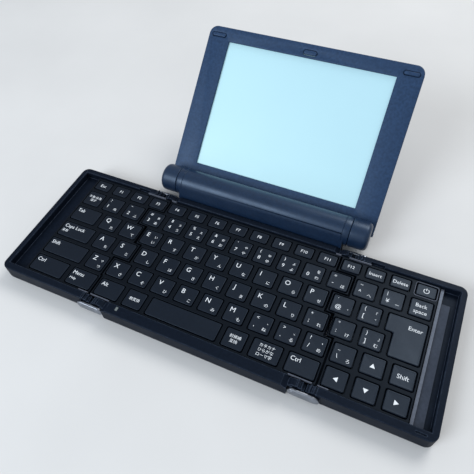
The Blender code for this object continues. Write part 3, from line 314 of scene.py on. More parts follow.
def inset(outline, distance):
    """The outline moved inwards by a distance, or outwards when it is negative."""
    pairs = list(zip(outline, outline[1:] + outline[:1]))
    area = sum(a[0] * b[1] - a[1] * b[0] for a, b in pairs)
    step = distance if area > 0 else -distance
    moved = []
    for i, here in enumerate(outline):
        along = (Vector(here) - Vector(outline[i - 1])).normalized()
        ahead = (Vector(outline[(i + 1) % len(outline)]) - Vector(here)).normalized()
        inward = Vector((-along.y - ahead.y, along.x + ahead.x))
        point = Vector(here) + inward * step / (1 + along.dot(ahead))
        moved.append(tuple(point))
    return moved


def in_plane(plane, a, b, along):
    """A point from two coordinates in a plane and one along its normal."""
    if plane == "XY":
        return (a, b, along)
    if plane == "XZ":
        return (a, along, b)
    return (along, a, b)


def bridge(shape, rings):
    """Joins rings of equally many corners by faces."""
    for ring, other in zip(rings, rings[1:]):
        for i in range(len(ring)):
            j = (i + 1) % len(ring)
            shape.faces.new((ring[i], ring[j], other[j], other[i]))


def loft(shape, sections):
    """Adds a closed surface through rings of equally many points."""
    rings = [[shape.verts.new(point) for point in section] for section in sections]
    bridge(shape, rings)
    shape.faces.new(rings[0])
    shape.faces.new(rings[-1])


def profile_loft(shape, outline, stations, plane="XY"):
    """Adds an outline lofted through stations of (inset, place along the normal)."""
    sections = []
    for distance, along in stations:
        ring = inset(outline, distance) if distance else outline
        sections.append([in_plane(plane, a, b, along) for a, b in ring])
    loft(shape, sections)


def prism(shape, outline, low, high, plane="XY"):
    """Adds an outline pushed straight out along its normal."""
    profile_loft(shape, outline, [(0, low), (0, high)], plane)


def soft_edge(edge, level, direction, steps=3):
    """Stations that round an edge off towards a level. Direction is 1 for a top edge."""
    stations = []
    for k in range(steps + 1):
        angle = QUARTER_TURN * k / steps
        drop = edge * (1 - math.sin(angle))
        stations.append((edge * (1 - math.cos(angle)), level - direction * drop))
    return stations


def add_ring(shape, outline, z):
    return [shape.verts.new((x, y, z)) for x, y in outline]


def soft_block(shape, outline, low, high, edge, plane="XY", steps=3):
    """Adds an outline pushed out along its normal, with both of its edges rounded."""
    bottom = soft_edge(edge, low, -1, steps)[::-1]
    profile_loft(shape, outline, bottom + soft_edge(edge, high, 1, steps), plane)


def fill(shape, loops, z):
    """Fills the area between a first loop and the loops inside it."""
    edges = []
    rings = []
    for loop in loops:
        ring = add_ring(shape, loop, z)
        edges += [shape.edges.new(pair) for pair in zip(ring, ring[1:] + ring[:1])]
        rings.append(ring)
    bmesh.ops.triangle_fill(shape, use_beauty=True, edges=edges)
    return rings


def plate_with_holes(shape, outline, holes, low, high, edge, steps=1):
    """Adds a plate with holes, its upper edges rounded, or broken by a chamfer for one step."""
    loops = [outline] + holes
    ways = [1] + [-1] * len(holes)
    top = fill(shape, [inset(loop, way * edge) for loop, way in zip(loops, ways)], high)
    bottom = fill(shape, loops, low)
    for loop, way, upper, lower in zip(loops, ways, top, bottom):
        stations = soft_edge(edge, high, 1, steps)[:-1]
        between = [add_ring(shape, inset(loop, way * distance), z) for distance, z in stations]
        bridge(shape, [lower] + between + [upper])


def turn_outwards(shape):
    bmesh.ops.recalc_face_normals(shape, faces=shape.faces)


def evaluated_mesh(source):
    """A mesh of an object as its modifiers or its curve make it."""
    bpy.context.view_layer.update()
    graph = bpy.context.evaluated_depsgraph_get()
    return bpy.data.meshes.new_from_object(source.evaluated_get(graph))


def new_object(name, data):
    made = bpy.data.objects.new(name, data)
    bpy.context.scene.collection.objects.link(made)
    return made


def new_mesh(name, shape):
    mesh = bpy.data.meshes.new(name)
    shape.to_mesh(mesh)
    shape.free()
    return mesh


def temporary_object(shape):
    turn_outwards(shape)
    return new_object("temporary", new_mesh("temporary", shape))


def combined(shape, steps):
    """The shape after a list of (operation, other shape) Boolean steps."""
    target = temporary_object(shape)
    others = []
    for operation, other in steps:
        others.append(temporary_object(other))
        modifier = target.modifiers.new("combine", "BOOLEAN")
        modifier.operation = operation
        modifier.solver = "EXACT"
        modifier.object = others[-1]
    mesh = evaluated_mesh(target)
    for each in [target] + others:
        data = each.data
        bpy.data.objects.remove(each)
        bpy.data.meshes.remove(data)
    result = bmesh.new()
    result.from_mesh(mesh)
    bpy.data.meshes.remove(mesh)
    return result


def new_piece(name, shape, looks, body, node=None, place=CASE_PLACE):
    """Turns a shape into a piece that rides on a body and may stand for a CAD node."""
    mesh = new_mesh(name, shape)
    for look in looks:
        mesh.materials.append(LOOKS[look])
    mesh.shade_smooth()
    mesh.set_sharp_from_angle(angle=SHARP_ANGLE)
    made = new_object(name, mesh)
    made.matrix_world = place
    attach(made, body)
    if node:
        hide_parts(node)


# Materials

WHITE = (1, 1, 1)
COOL_SHEEN = (0.60, 0.77, 1.0)
MIX_FIRST = 6
MIX_SECOND = 7
MIX_RESULT = 2
NOISE_LOW = 0.3
NOISE_HIGH = 0.7
GRAIN_SIZE = 0.25 * MM
GRAIN_DEPTH = 0.006 * MM
SMUDGE_SIZE = 26 * MM
PATCH_SIZE = 1.6 * MM
EDGE_BREAKUP_SIZE = 3 * MM
BRUSH_SIZE = 2.5 * MM
BRUSH_DEPTH = 0.004 * MM
BRUSH_STRETCH = (1, 1, 30)
TARNISH_SIZE = 6 * MM
RUBBER_GRAIN_SIZE = 0.3 * MM
RUBBER_GRAIN_DEPTH = 0.02 * MM
DUST_SIZE = 4 * MM
INK_GRAIN_SIZE = 0.4 * MM
PANEL_CLOUD_SIZE = 45 * MM
PANEL_SPECKLE_SIZE = 0.12 * MM
PANEL_GRAIN_SIZE = 0.25 * MM
PANEL_GRAIN_DEPTH = 0.003 * MM
PANEL_GLOSS_SIZE = 30 * MM
CELL_LENGTH = 50.8 * MM
BAND_START = 36 * MM
BAND_BLEND = 0.4 * MM
SCRATCH_SIZE = 2 * MM
CELL_GLOSS_SIZE = 8 * MM
TRACK_SIZE = 6 * MM
TRACK_HEIGHT = 0.03 * MM
BOARD_GLOSS_SIZE = 5 * MM

# Each plastic's colour, painted edge colour, roughness, edge radius and specular level. The painted
# edge colour is a painted highlight along the edges, on the lid painted shade
PLASTICS = {
    "case": ((0.0050, 0.0080, 0.0155), (0.085, 0.115, 0.175), 0.44, 0.6 * MM, 0.07),
    # The deck is darker than the keys, partly its own tone and partly painted shade between the keys.
    "deck": ((0.0018, 0.0028, 0.0052), (0.016, 0.022, 0.034), 0.48, 0.25 * MM, 0.15),
    "key": ((0.0024, 0.0044, 0.0098), (0.055, 0.072, 0.108), 0.43, 0.35 * MM, 0.32),
    # The lid's edge colour is darker: painted shade along its edges.
    "lid": ((0.0210, 0.0465, 0.1060), (0.0060, 0.0110, 0.0240), 0.42, 0.6 * MM, 0.3),
    "barrel": ((0.0060, 0.0172, 0.0450), (0.020, 0.040, 0.086), 0.37, 0.4 * MM, 0.58),
    "tray": ((0.0240, 0.0290, 0.0450), (0.045, 0.052, 0.072), 0.5, 0.3 * MM, 0.25),
    "trim": ((0.080, 0.088, 0.115), (0.150, 0.160, 0.195), 0.42, 0.25 * MM, 0.4),
}


def tinted(colour, factor):
    """The colour made lighter or darker by a factor."""
    return tuple(min(1.0, value * factor) for value in colour)


def feed(tree, node, values):
    """Sets each named input of a node to a value, or links it to another node's output."""
    for socket, value in values.items():
        if isinstance(value, bpy.types.NodeSocket):
            tree.links.new(value, node.inputs[socket])
        else:
            node.inputs[socket].default_value = value


def new_node(tree, kind, values, **settings):
    node = tree.nodes.new(f"ShaderNode{kind}")
    for name, setting in settings.items():
        setattr(node, name, setting)
    feed(tree, node, values)
    return node


def texture_place(tree):
    return tree.nodes.new("ShaderNodeTexCoord").outputs["Object"]


def noise(tree, size, detail=2.0, roughness=0.5, place=None):
    """Noise whose features are about the given size across."""
    values = {"Scale": 1 / size, "Detail": detail, "Roughness": roughness}
    values["Vector"] = place or texture_place(tree)
    return new_node(tree, "TexNoise", values).outputs["Fac"]


def map_range(tree, value, low, high, to_low, to_high):
    values = {"Value": value, "From Min": low, "From Max": high, "To Min": to_low, "To Max": to_high}
    return new_node(tree, "MapRange", values).outputs["Result"]


def spread(tree, value, to_low, to_high):
    """Noise, which mostly lies between its low and high level, spread over a range."""
    return map_range(tree, value, NOISE_LOW, NOISE_HIGH, to_low, to_high)


def maths(tree, operation, *values):
    return new_node(tree, "Math", dict(enumerate(values)), operation=operation).outputs["Value"]


def mix(tree, factor, first, second):
    """A mix of two colours, either of them a colour or another node's output."""
    values = {"Factor": factor}
    for socket, colour in ((MIX_FIRST, first), (MIX_SECOND, second)):
        values[socket] = (*colour, 1) if isinstance(colour, tuple) else colour
    return new_node(tree, "Mix", values, data_type="RGBA").outputs[MIX_RESULT]


def rounded_normal(tree, radius):
    """The normal with edges rounded off, and a mask that is 1 along those edges."""
    normal = new_node(tree, "Bevel", {"Radius": radius}, samples=6).outputs["Normal"]
    flat = tree.nodes.new("ShaderNodeNewGeometry").outputs["Normal"]
    dot = new_node(tree, "VectorMath", {0: normal, 1: flat}, operation="DOT_PRODUCT")
    return normal, map_range(tree, dot.outputs["Value"], 0.995, 0.8, 0.0, 1.0)


def bump(tree, height, distance, normal=None):
    values = {"Strength": 1.0, "Distance": distance, "Height": height}
    if normal is not None:
        values["Normal"] = normal
    return new_node(tree, "Bump", values).outputs["Normal"]


def new_material(name, specular, tint=WHITE, metallic=0.0):
    """A material with its Principled shader, and its node tree."""
    material = bpy.data.materials.new(name)
    material.use_nodes = True
    tree = material.node_tree
    values = {"Metallic": metallic, "Specular IOR Level": specular, "Specular Tint": (*tint, 1)}
    feed(tree, tree.nodes["Principled BSDF"], values)
    return material, tree


def coated(material, colour, roughness, normal=None):
    """The material, with a colour, a roughness and, where it is given, a normal on its shader."""
    values = {"Base Color": colour, "Roughness": roughness}
    if normal:
        values["Normal"] = normal
    feed(material.node_tree, material.node_tree.nodes["Principled BSDF"], values)
    return material


def moulded_plastic(name, colour, painted_edge_colour, roughness, edge, specular):
    """Matt moulded plastic: fine spark-eroded grain, handling smudges, and a painted edge colour along
    the edges.
    """
    material, tree = new_material(name, specular, COOL_SHEEN)
    normal, edge_mask = rounded_normal(tree, edge)
    grain = noise(tree, GRAIN_SIZE, 3.0, 0.6)
    smudge = noise(tree, SMUDGE_SIZE, 4.0, 0.55)
    patch = noise(tree, PATCH_SIZE)
    shade = maths(tree, "MULTIPLY", spread(tree, smudge, 0.0, 1.0), 0.35)
    base = mix(tree, spread(tree, patch, 0.0, 1.0), tinted(colour, 0.8), tinted(colour, 1.25))
    base = mix(tree, shade, base, colour)
    # Painted edge colour, broken up by noise: mostly a painted highlight with a little edge wear, on
    # the lid painted shade.
    edge_breakup = map_range(tree, noise(tree, EDGE_BREAKUP_SIZE, 3.0), 0.35, 0.65, 0.35, 1.0)
    base = mix(tree, maths(tree, "MULTIPLY", edge_mask, edge_breakup), base, painted_edge_colour)
    rough = spread(tree, smudge, roughness - 0.06, roughness + 0.06)
    rough = maths(tree, "ADD", rough, spread(tree, grain, -0.03, 0.03))
    rough = maths(tree, "SUBTRACT", rough, maths(tree, "MULTIPLY", edge_mask, 0.1))
    return coated(material, base, rough, bump(tree, grain, GRAIN_DEPTH, normal))


def brushed_metal(name, colour, roughness, edge):
    """Plated sheet metal with fine brush lines, darker patches and edges lightened by a painted
    highlight.
    """
    material, tree = new_material(name, 0.5, metallic=1.0)
    normal, edge_mask = rounded_normal(tree, edge)
    stretched = new_node(tree, "Mapping", {"Vector": texture_place(tree), "Scale": BRUSH_STRETCH})
    streaks = noise(tree, BRUSH_SIZE, 3.0, place=stretched.outputs["Vector"])
    tarnish = spread(tree, noise(tree, TARNISH_SIZE, 3.0), 0.0, 0.6)
    base = mix(tree, tarnish, colour, tinted(colour, 0.72))
    # Painted highlight: the edges are lightened.
    base = mix(tree, edge_mask, base, tinted(colour, 1.25))
    rough = spread(tree, streaks, roughness - 0.07, roughness + 0.09)
    return coated(material, base, rough, bump(tree, streaks, BRUSH_DEPTH, normal))


def soft_rubber(name, colour):
    """Soft rubber with a fine open grain and dust in it."""
    material, tree = new_material(name, 0.2)
    grain = noise(tree, RUBBER_GRAIN_SIZE, 4.0, 0.7)
    dust = map_range(tree, noise(tree, DUST_SIZE, 4.0), 0.5, 0.75, 0.0, 0.5)
    base = mix(tree, dust, colour, tinted(colour, 2.2))
    rough = spread(tree, grain, 0.72, 0.9)
    return coated(material, base, rough, bump(tree, grain, RUBBER_GRAIN_DEPTH))


def printed_ink(name, colour):
    """Pad-printed ink or a small dull window, a little uneven."""
    material, tree = new_material(name, 0.3)
    uneven = noise(tree, INK_GRAIN_SIZE, 3.0)
    base = mix(tree, spread(tree, uneven, 0.0, 1.0), tinted(colour, 0.82), colour)
    return coated(material, base, spread(tree, uneven, 0.5, 0.65))


def panel_with_painted_light(name):
    """The pale display: a painted glow from emission, though the panel is no lamp, and painted light
    that makes it a little greener and lighter towards one lower corner.
    """
    material, tree = new_material(name, 0.3)
    split = new_node(tree, "SeparateXYZ", {"Vector": texture_place(tree)})
    across = map_range(tree, split.outputs["X"], -WINDOW_HALF_WIDTH, WINDOW_HALF_WIDTH, 0.0, 1.0)
    along = map_range(tree, split.outputs["Y"], WINDOW_START, WINDOW_END, 0.0, 1.0)
    far = maths(tree, "ADD", maths(tree, "MULTIPLY", across, 0.6), maths(tree, "MULTIPLY", along, 0.8))
    cloud = maths(tree, "MULTIPLY", noise(tree, PANEL_CLOUD_SIZE), 0.25)
    # Painted light: a gradient, lighter and greener towards one lower corner.
    painted_light_blend = map_range(tree, maths(tree, "ADD", far, cloud), 0.15, 1.2, 0.0, 1.0)
    base = mix(tree, painted_light_blend, (0.46, 0.73, 0.79), (0.42, 0.66, 0.75))
    speckle = spread(tree, noise(tree, PANEL_SPECKLE_SIZE), 0.0, 0.12)
    base = mix(tree, speckle, base, (0.42, 0.62, 0.70))
    # Painted glow: the panel emits its own colour, though it is no lamp.
    painted_glow = {"Emission Color": base, "Emission Strength": 0.2}
    feed(tree, tree.nodes["Principled BSDF"], painted_glow)
    rough = spread(tree, noise(tree, PANEL_GLOSS_SIZE, 3.0), 0.32, 0.42)
    grain = noise(tree, PANEL_GRAIN_SIZE)
    return coated(material, base, rough, bump(tree, grain, PANEL_GRAIN_DEPTH))


def cell_jacket(name):
    """The printed sleeve of a dry cell: dark with a copper band at the contact end."""
    material, tree = new_material(name, 0.5)
    split = new_node(tree, "SeparateXYZ", {"Vector": texture_place(tree)})
    along = maths(tree, "WRAP", split.outputs["X"], 0.0, CELL_LENGTH)
    band = map_range(tree, along, BAND_START, BAND_START + BAND_BLEND, 0.0, 1.0)
    base = mix(tree, band, (0.02, 0.02, 0.022), (0.45, 0.20, 0.09))
    scratches = map_range(tree, noise(tree, SCRATCH_SIZE, 4.0), 0.55, 0.75, 0.0, 0.5)
    base = mix(tree, scratches, base, (0.25, 0.24, 0.23))
    return coated(material, base, spread(tree, noise(tree, CELL_GLOSS_SIZE), 0.25, 0.4))


def circuit_board(name):
    """Green solder mask over copper tracks."""
    material, tree = new_material(name, 0.5)
    checks = new_node(tree, "TexBrick", {"Vector": texture_place(tree), "Scale": 1 / TRACK_SIZE})
    tracks = checks.outputs["Fac"]
    base = mix(tree, tracks, (0.008, 0.055, 0.022), (0.03, 0.13, 0.05))
    rough = spread(tree, noise(tree, BOARD_GLOSS_SIZE), 0.3, 0.45)
    return coated(material, base, rough, bump(tree, tracks, TRACK_HEIGHT))


def floor_paper(name):
    """Pale matt paper, a little uneven."""
    material, tree = new_material(name, 0.2)
    cloud = noise(tree, FLOOR_CLOUD_SIZE, 4.0)
    return coated(material, mix(tree, spread(tree, cloud, 0.0, 1.0), *FLOOR_COLOURS), 0.8)


def make_materials():
    """Every material by its short name."""
    made = {look: moulded_plastic(f"{look}_plastic", *facts) for look, facts in PLASTICS.items()}
    made["silver"] = brushed_metal("plated_metal", (0.29, 0.315, 0.365), 0.34, 0.4 * MM)
    made["steel"] = brushed_metal("steel", (0.42, 0.42, 0.43), 0.35, 0.2 * MM)
    made["rubber"] = soft_rubber("rubber", (0.011, 0.0115, 0.013))
    made["ink"] = printed_ink("legend_ink", (0.86, 0.91, 0.97))
    made["lamp"] = printed_ink("lamp_window", (0.15, 0.175, 0.18))
    made["screen"] = panel_with_painted_light("display_panel")
    made["cell"] = cell_jacket("cell_jacket")
    made["board"] = circuit_board("circuit_board")
    return made


LOOKS = make_materials()


# Key legends: each is a text, its size, how it is placed, and x and y

def letter(main, kana, small_kana=""):
    """A letter at the upper left with its kana at the lower right."""
    return [
        (main, LETTER_SIZE, "left", *LETTER_SHARES),
        (kana, KANA_SIZE, "right", *LETTER_KANA_SHARES),
        (small_kana, KANA_SIZE, "right", *LETTER_SMALL_KANA_SHARES),
    ]


def sign(lower, upper, kana, small_kana=""):
    """A lower sign with a shifted sign above it, and kana at the right."""
    return [
        (lower, DIGIT_SIZE, "left", *LOWER_SIGN_SHARES),
        (upper, SIGN_SIZE, "left", *UPPER_SIGN_SHARES),
        (kana, KANA_SIZE, "right", *SIGN_KANA_SHARES),
        (small_kana, KANA_SIZE, "right", *SIGN_SMALL_KANA_SHARES),
    ]


def middle(text, size=WORD_SIZE):
    return [(text, size, "centre", 0, 0)]


def corner(text, below=""):
    """A word at the upper left of a wide key, with a smaller one below it."""
    return [
        (text, WORD_SIZE, "indent", 0, WORD_HEIGHT_SHARE),
        (below, SMALL_WORD_SIZE, "indent", 0, LOWER_WORD_HEIGHT_SHARE),
    ]


def lines(words, size):
    """Several short lines in the middle of a key."""
    texts = []
    for i, word in enumerate(words):
        lift = ((len(words) - 1) / 2 - i) * size * LINE_STEP
        texts.append((word, size, "line", 0, lift))
    return texts


def letters(*texts):
    """Letter keys fused with their plate, each given by its letter and its kana."""
    return [("", 1.0, letter(*text)) for text in texts]


def signs(*texts):
    """Sign keys fused with their plate, each given by its lower sign, upper sign and kana."""
    return [("", 1.0, sign(*text)) for text in texts]


def function_keys(share, numbers):
    return [("", share, middle(f"F{number}", FUNCTION_SIZE)) for number in numbers]


# Rows of keys from the front: each key's node, its width in column pitches, and its legends

END_FUNCTION_SHARE = 0.931
FUNCTION_SHARE = 0.944
BOTTOM_ROW = (
    ("ctrl_left_key", 1.72, corner("Ctrl")),
    ("menu_key", 1.33, corner("Menu", "Help")),
    ("alt_key", 1.25, corner("Alt")),
    ("non_convert_key", 1.0, middle("無変換", SMALL_WORD_SIZE)),
    ("space_bar", 3.07, []),
    ("convert_key", 1.03, lines(("前候補", "変換"), SMALL_WORD_SIZE)),
    ("kana_key", 1.3, lines(("カタカナ", "ひらがな", "ローマ字"), SMALL_WORD_SIZE)),
    ("ctrl_right_key", 1.3, corner("Ctrl")),
    ("left_key", 1.0, middle("◀", ARROW_SIZE)),
    ("down_key", 1.0, middle("▼", ARROW_SIZE)),
    ("right_key", 1.0, middle("▶", ARROW_SIZE)),
)
SHIFT_ROW = (
    ("shift_left_key", 2.0, corner("Shift")),
    *letters("Zつっ", "Xさ", "Cそ", "Vひ", "Bこ", "Nみ", "Mも"),
    *signs(",<ね、", ".>る。", "/?め・", "\\_ろ"),
    ("up_key", 1.0, middle("▲", ARROW_SIZE)),
    ("shift_right_key", 1.0, middle("Shift")),
)
HOME_ROW = (
    ("caps_lock_key", 1.71, corner("Caps Lock", "英数")),
    *letters("Aち", "Sと", "Dし", "Fは", "Gき", "Hく", "Jま", "Kの", "Lり"),
    *signs(";+れ", ":*け", "]}む」"),
    ("enter_key", 1.29, []),
)
TAB_ROW = (
    ("tab_key", 1.41, corner("Tab")),
    *letters("Qた", "Wて", "Eいぃ", "Rす", "Tか", "Yん", "Uな", "Iに", "Oら", "Pせ"),
    *signs("@`゛", "[{゜「"),
    ("enter_key", 1.59, []),
)
NUMBER_ROW = (
    ("input_mode_key", 1.0, lines(("半角/全角", "漢字"), SMALL_WORD_SIZE)),
    *signs("1!ぬ", '2"ふ', "3#あぁ", "4$うぅ", "5%えぇ", "6&おぉ", "7'やゃ", "8(ゆゅ", "9)よょ"),
    *signs(("0", "", "わ", "を"), "-=ほ", "^~へ", "¥|ー"),
    ("backspace_key", 1.0, lines(("Back", "space"), BACKSPACE_SIZE)),
)
FUNCTION_ROW = (
    ("escape_key", END_FUNCTION_SHARE, middle("Esc", ESCAPE_SIZE)),
    *function_keys(END_FUNCTION_SHARE, (1, 2, 3)),
    *function_keys(FUNCTION_SHARE, (4, 5, 6, 7, 8, 9, 10, 11)),
    *function_keys(END_FUNCTION_SHARE, (12,)),
    ("insert_key", END_FUNCTION_SHARE, middle("Insert", EDIT_SIZE)),
    ("delete_key", END_FUNCTION_SHARE, middle("Delete", EDIT_SIZE)),
    ("power_key", END_FUNCTION_SHARE, middle("⏻", POWER_SIZE)),
)
ROWS = (BOTTOM_ROW, SHIFT_ROW, HOME_ROW, TAB_ROW, NUMBER_ROW, FUNCTION_ROW)
HOME_ROW_NUMBER = 2
TAB_ROW_NUMBER = 3
ROW_EDGES = [FIRST_ROW_Y + ROW_PITCH * row for row in range(len(ROWS))]
ROW_EDGES.append(ROW_EDGES[-1] + FUNCTION_PITCH)


# Lettering

LETTER_SHAPES = {}


def letter_shape(text):
    """The points and the flat faces of a text one unit high, made once for each text."""
    if text not in LETTER_SHAPES:
        curve = bpy.data.curves.new("legend", "FONT")
        curve.body = text
        curve.resolution_u = 3
        curve.offset = LEGEND_WEIGHT
        holder = new_object("legend", curve)
        mesh = evaluated_mesh(holder)
        bpy.data.objects.remove(holder)
        points = [tuple(vertex.co[:2]) for vertex in mesh.vertices]
        faces = [tuple(face.vertices) for face in mesh.polygons]
        bpy.data.meshes.remove(mesh)
        LETTER_SHAPES[text] = (points, faces)
    return LETTER_SHAPES[text]


def write(shape, text, size, anchor, x, y):
    """Adds a text's faces to a cap, anchored at the text's left, centre or right."""
    points, faces = letter_shape(text)
    left = min(point[0] for point in points)
    right = max(point[0] for point in points)
    start = {"left": left, "centre": (left + right) / 2, "right": right}[anchor]
    made = [
        shape.verts.new((x + (a - start) * size, y + (b - CAPITAL_MIDDLE_SHARE) * size, LEGEND_Z))
        for a, b in points
    ]
    for face in faces:
        new_face = shape.faces.new([made[i] for i in face])
        new_face.material_index = 1


def add_legends(shape, legends, outline):
    """Adds a key's legends to its cap.

    A text placed left, centre or right has that point of it at shares of the cap's half width
    and half depth. An indent starts a fixed way in from the cap's left side, at a share of its
    half depth. A line is centred, with y in metres from the cap's middle.
    """
    left, right = min(x for x, _ in outline), max(x for x, _ in outline)
    front, rear = min(y for _, y in outline), max(y for _, y in outline)
    centre_x, centre_y = (left + right) / 2, (front + rear) / 2
    half_x, half_y = (right - left) / 2, (rear - front) / 2
    for text, size, placing, x, y in legends:
        if not text:
            continue
        if placing == "line":
            write(shape, text, size, "centre", centre_x, centre_y + y)
        elif placing == "indent":
            write(shape, text, size, "left", left + WORD_INDENT, centre_y + y * half_y)
        else:
            write(shape, text, size, placing, centre_x + x * half_x, centre_y + y * half_y)


# Keyboard

def row_cells(row):
    """The name, legends, and left and right edges of each key's cell in a row."""
    cells = []
    left = -KEYS_HALF_WIDTH
    for name, share, legends in ROWS[row]:
        right = left + share * COLUMN_PITCH
        cells.append((name, legends, left, right))
        left = right
    return cells


def split_distance(side, row):
    count = WING_KEYS[side][row]
    edge = row_cells(row)[count][2] if side < 0 else row_cells(row)[-count][2]
    return abs(edge)


def deck_levels(side, direction):
    """How far from the middle a key frame ends in each row. Direction is 1 for a wing."""
    levels = []
    for row in range(len(ROWS)):
        gap = WIDE_HALF_GAP if row == WIDE_ROW[side] else SPLIT_HALF_GAP
        levels.append(split_distance(side, row) + direction * gap)
    return levels


def plate_levels(side, direction):
    levels = []
    for row in range(len(ROWS)):
        tongue = FOLD_X - split_distance(side, row)
        reach = min(direction * tongue - TONGUE_LIMIT, TONGUE_LIMIT)
        levels.append(FOLD_X - direction * reach)
    return levels


def stepped_line(levels, front, rear, shift):
    """Points (distance from the middle, y) of a stepped edge, its steps opened by a shift."""
    points = [(levels[0], front)]
    for before, after, y in zip(levels, levels[1:], ROW_EDGES[1:-1]):
        if abs(after - before) > LEAST_STEP:
            step_y = y + math.copysign(shift, shift * (after - before))
            points += [(before, step_y), (after, step_y)]
    points.append((levels[-1], rear))
    return points


def body_outline(side, levels_of, front, rear, outer):
    """The outline of a wing's plate, or of the centre's where the side is zero."""
    if side:
        line = stepped_line(levels_of(side, 1), front, rear, -SPLIT_HALF_GAP)
        return [(side * x, y) for x, y in [(outer, front), (outer, rear)] + line[::-1]]
    outline = []
    for each in (1, -1):
        line = stepped_line(levels_of(each, -1), front, rear, SPLIT_HALF_GAP)
        line = [(each * x, y) for x, y in line]
        outline += line if each > 0 else line[::-1]
    return outline


def cap_outline(left, right, row, margin=0):
    front = ROW_EDGES[row] + CAP_MARGIN_Y - margin
    rear = ROW_EDGES[row + 1] - CAP_MARGIN_Y + margin
    return rectangle(left + CAP_MARGIN_X - margin, right - CAP_MARGIN_X + margin, front, rear)


def enter_outline(margin=0):
    """The outline of the Enter key, which is wider in its rear row."""
    narrow, right = row_cells(HOME_ROW_NUMBER)[-1][2:]
    wide = row_cells(TAB_ROW_NUMBER)[-1][2]
    low = cap_outline(narrow, right, HOME_ROW_NUMBER, margin)
    high = cap_outline(wide, right, TAB_ROW_NUMBER, margin)
    return [low[0], low[1], high[2], high[3], high[0], (low[0][0], high[0][1])]


Key = namedtuple("Key", "name side outline centre legends")


def keys():
    """Each key once. Its side is zero in the centre, and its outline is a function of a margin."""
    for row in range(len(ROWS)):
        cells = row_cells(row)
        for number, (name, legends, left, right) in enumerate(cells):
            if name == "enter_key" and row == TAB_ROW_NUMBER:
                continue
            side = 0
            if number < WING_KEYS[-1][row]:
                side = -1
            elif number >= len(cells) - WING_KEYS[1][row]:
                side = 1
            x = (left + right) / 2
            if name == "enter_key":
                yield Key(name, side, enter_outline, (x, ROW_EDGES[row + 1]), legends)
            else:
                centre = (x, (ROW_EDGES[row] + ROW_EDGES[row + 1]) / 2)
                yield Key(name, side, partial(cap_outline, left, right, row), centre, legends)


def add_cap(shape, outline):
    """Adds a cap: rounded corners, a soft upper edge and a top that dips a little."""
    stations = [(0, DECK_LOW)] + soft_edge(CAP_EDGE, CAP_TOP, 1, CAP_EDGE_STEPS)
    stations.append((CAP_EDGE + CAP_SLOPE / 2, CAP_TOP - CAP_DISH * CAP_DISH_SHARE))
    stations.append((CAP_EDGE + CAP_SLOPE, CAP_TOP - CAP_DISH))
    sections = []
    for distance, z in stations:
        ring = rounded(inset(outline, distance), max(CAP_CORNER - distance, LEAST_CORNER))
        sections.append([(x, y, z) for x, y in ring])
    loft(shape, sections)


def stem_outline(centre, margin=0):
    half = STEM_SIZE / 2 + margin
    return centred(*centre, half, half)


def add_stem(shape, centre, low):
    prism(shape, stem_outline(centre), low, DECK_LOW)


def add_enter_word(shape):
    """The word on the Enter key stands in its wide upper part, near the right."""
    right, front = cap_outline(*row_cells(TAB_ROW_NUMBER)[-1][2:], TAB_ROW_NUMBER)[1]
    write(shape, "Enter", WORD_SIZE, "right", right - ENTER_WORD_INDENT, front + ENTER_WORD_RISE)


def make_key(key):
    """A key that moves by itself."""
    shape = bmesh.new()
    add_cap(shape, key.outline())
    add_stem(shape, key.centre, STEM_LOW)
    turn_outwards(shape)
    if key.name == "enter_key":
        add_enter_word(shape)
    add_legends(shape, key.legends, key.outline())
    body = f"{key.name}_body"
    new_piece(f"{key.name}_cap", shape, ("key", "ink"), body, key.name)


def paint_new(shape, before):
    """Gives faces that weren't there before the piece's second material."""
    for face in set(shape.faces) - before:
        face.material_index = 1


def add_lips(shape, side):
    """Adds the raised edges of a key frame beside the hinges, where the rims are cut."""
    edges = ((0, DECK_FRONT, DECK_FRONT + LIP_THICKNESS), (-1, DECK_REAR - LIP_THICKNESS, DECK_REAR))
    for each in (side,) if side else (-1, 1):
        levels = deck_levels(each, 1 if side else -1)
        for row, low, high in edges:
            if side:
                limits = (max(levels[row], FOLD_X - LIP_REACH), LIP_FAR_X)
            else:
                limits = (LIP_NEAR_X, min(levels[row], FOLD_X + LIP_REACH))
            left, right = sorted(each * x for x in limits)
            outline = rectangle(left, right, low, high)
            stations = [(0, DECK_TOP - DECK_EDGE)] + soft_edge(LIP_EDGE, DECK_TOP + LIP_HEIGHT, 1)
            before = set(shape.faces)
            profile_loft(shape, outline, stations)
            # The lips take the lighter trim material: a painted highlight along them.
            paint_new(shape, before)


def add_power_ring(shape, outline_of):
    """Adds the low ring round the power key."""
    inner = rounded(outline_of(APERTURE_GAP + DECK_EDGE), APERTURE_CORNER)
    outer = inset(inner, -POWER_RING_WIDTH)
    top = DECK_TOP + POWER_RING_HEIGHT
    stations = ((outer, DECK_TOP - DECK_EDGE / 2), (outer, top - LIP_EDGE))
    stations += ((inset(outer, LIP_EDGE), top), (inset(inner, -LIP_EDGE), top))
    stations += ((inner, top - LIP_EDGE), (inner, DECK_TOP - DECK_EDGE / 2))
    rings = [add_ring(shape, outline, z) for outline, z in stations]
    before = set(shape.faces)
    bridge(shape, rings + rings[:1])
    paint_new(shape, before)


def make_key_frame(side, body, label, mine):
    """The deck round one body's keys, with its lips and the power key's ring."""
    outline = body_outline(side, deck_levels, DECK_FRONT, DECK_REAR, DECK_OUTER_X)
    holes = [rounded(key.outline(APERTURE_GAP), APERTURE_CORNER) for key in mine]
    shape = bmesh.new()
    plate_with_holes(shape, outline, holes, DECK_LOW, DECK_TOP, DECK_EDGE)
    add_lips(shape, side)
    for key in mine:
        if key.name == "power_key":
            add_power_ring(shape, key.outline)
    turn_outwards(shape)
    node = f"{label}_key_frame"
    new_piece(f"{label}_deck", shape, ("deck", "trim"), body, node)


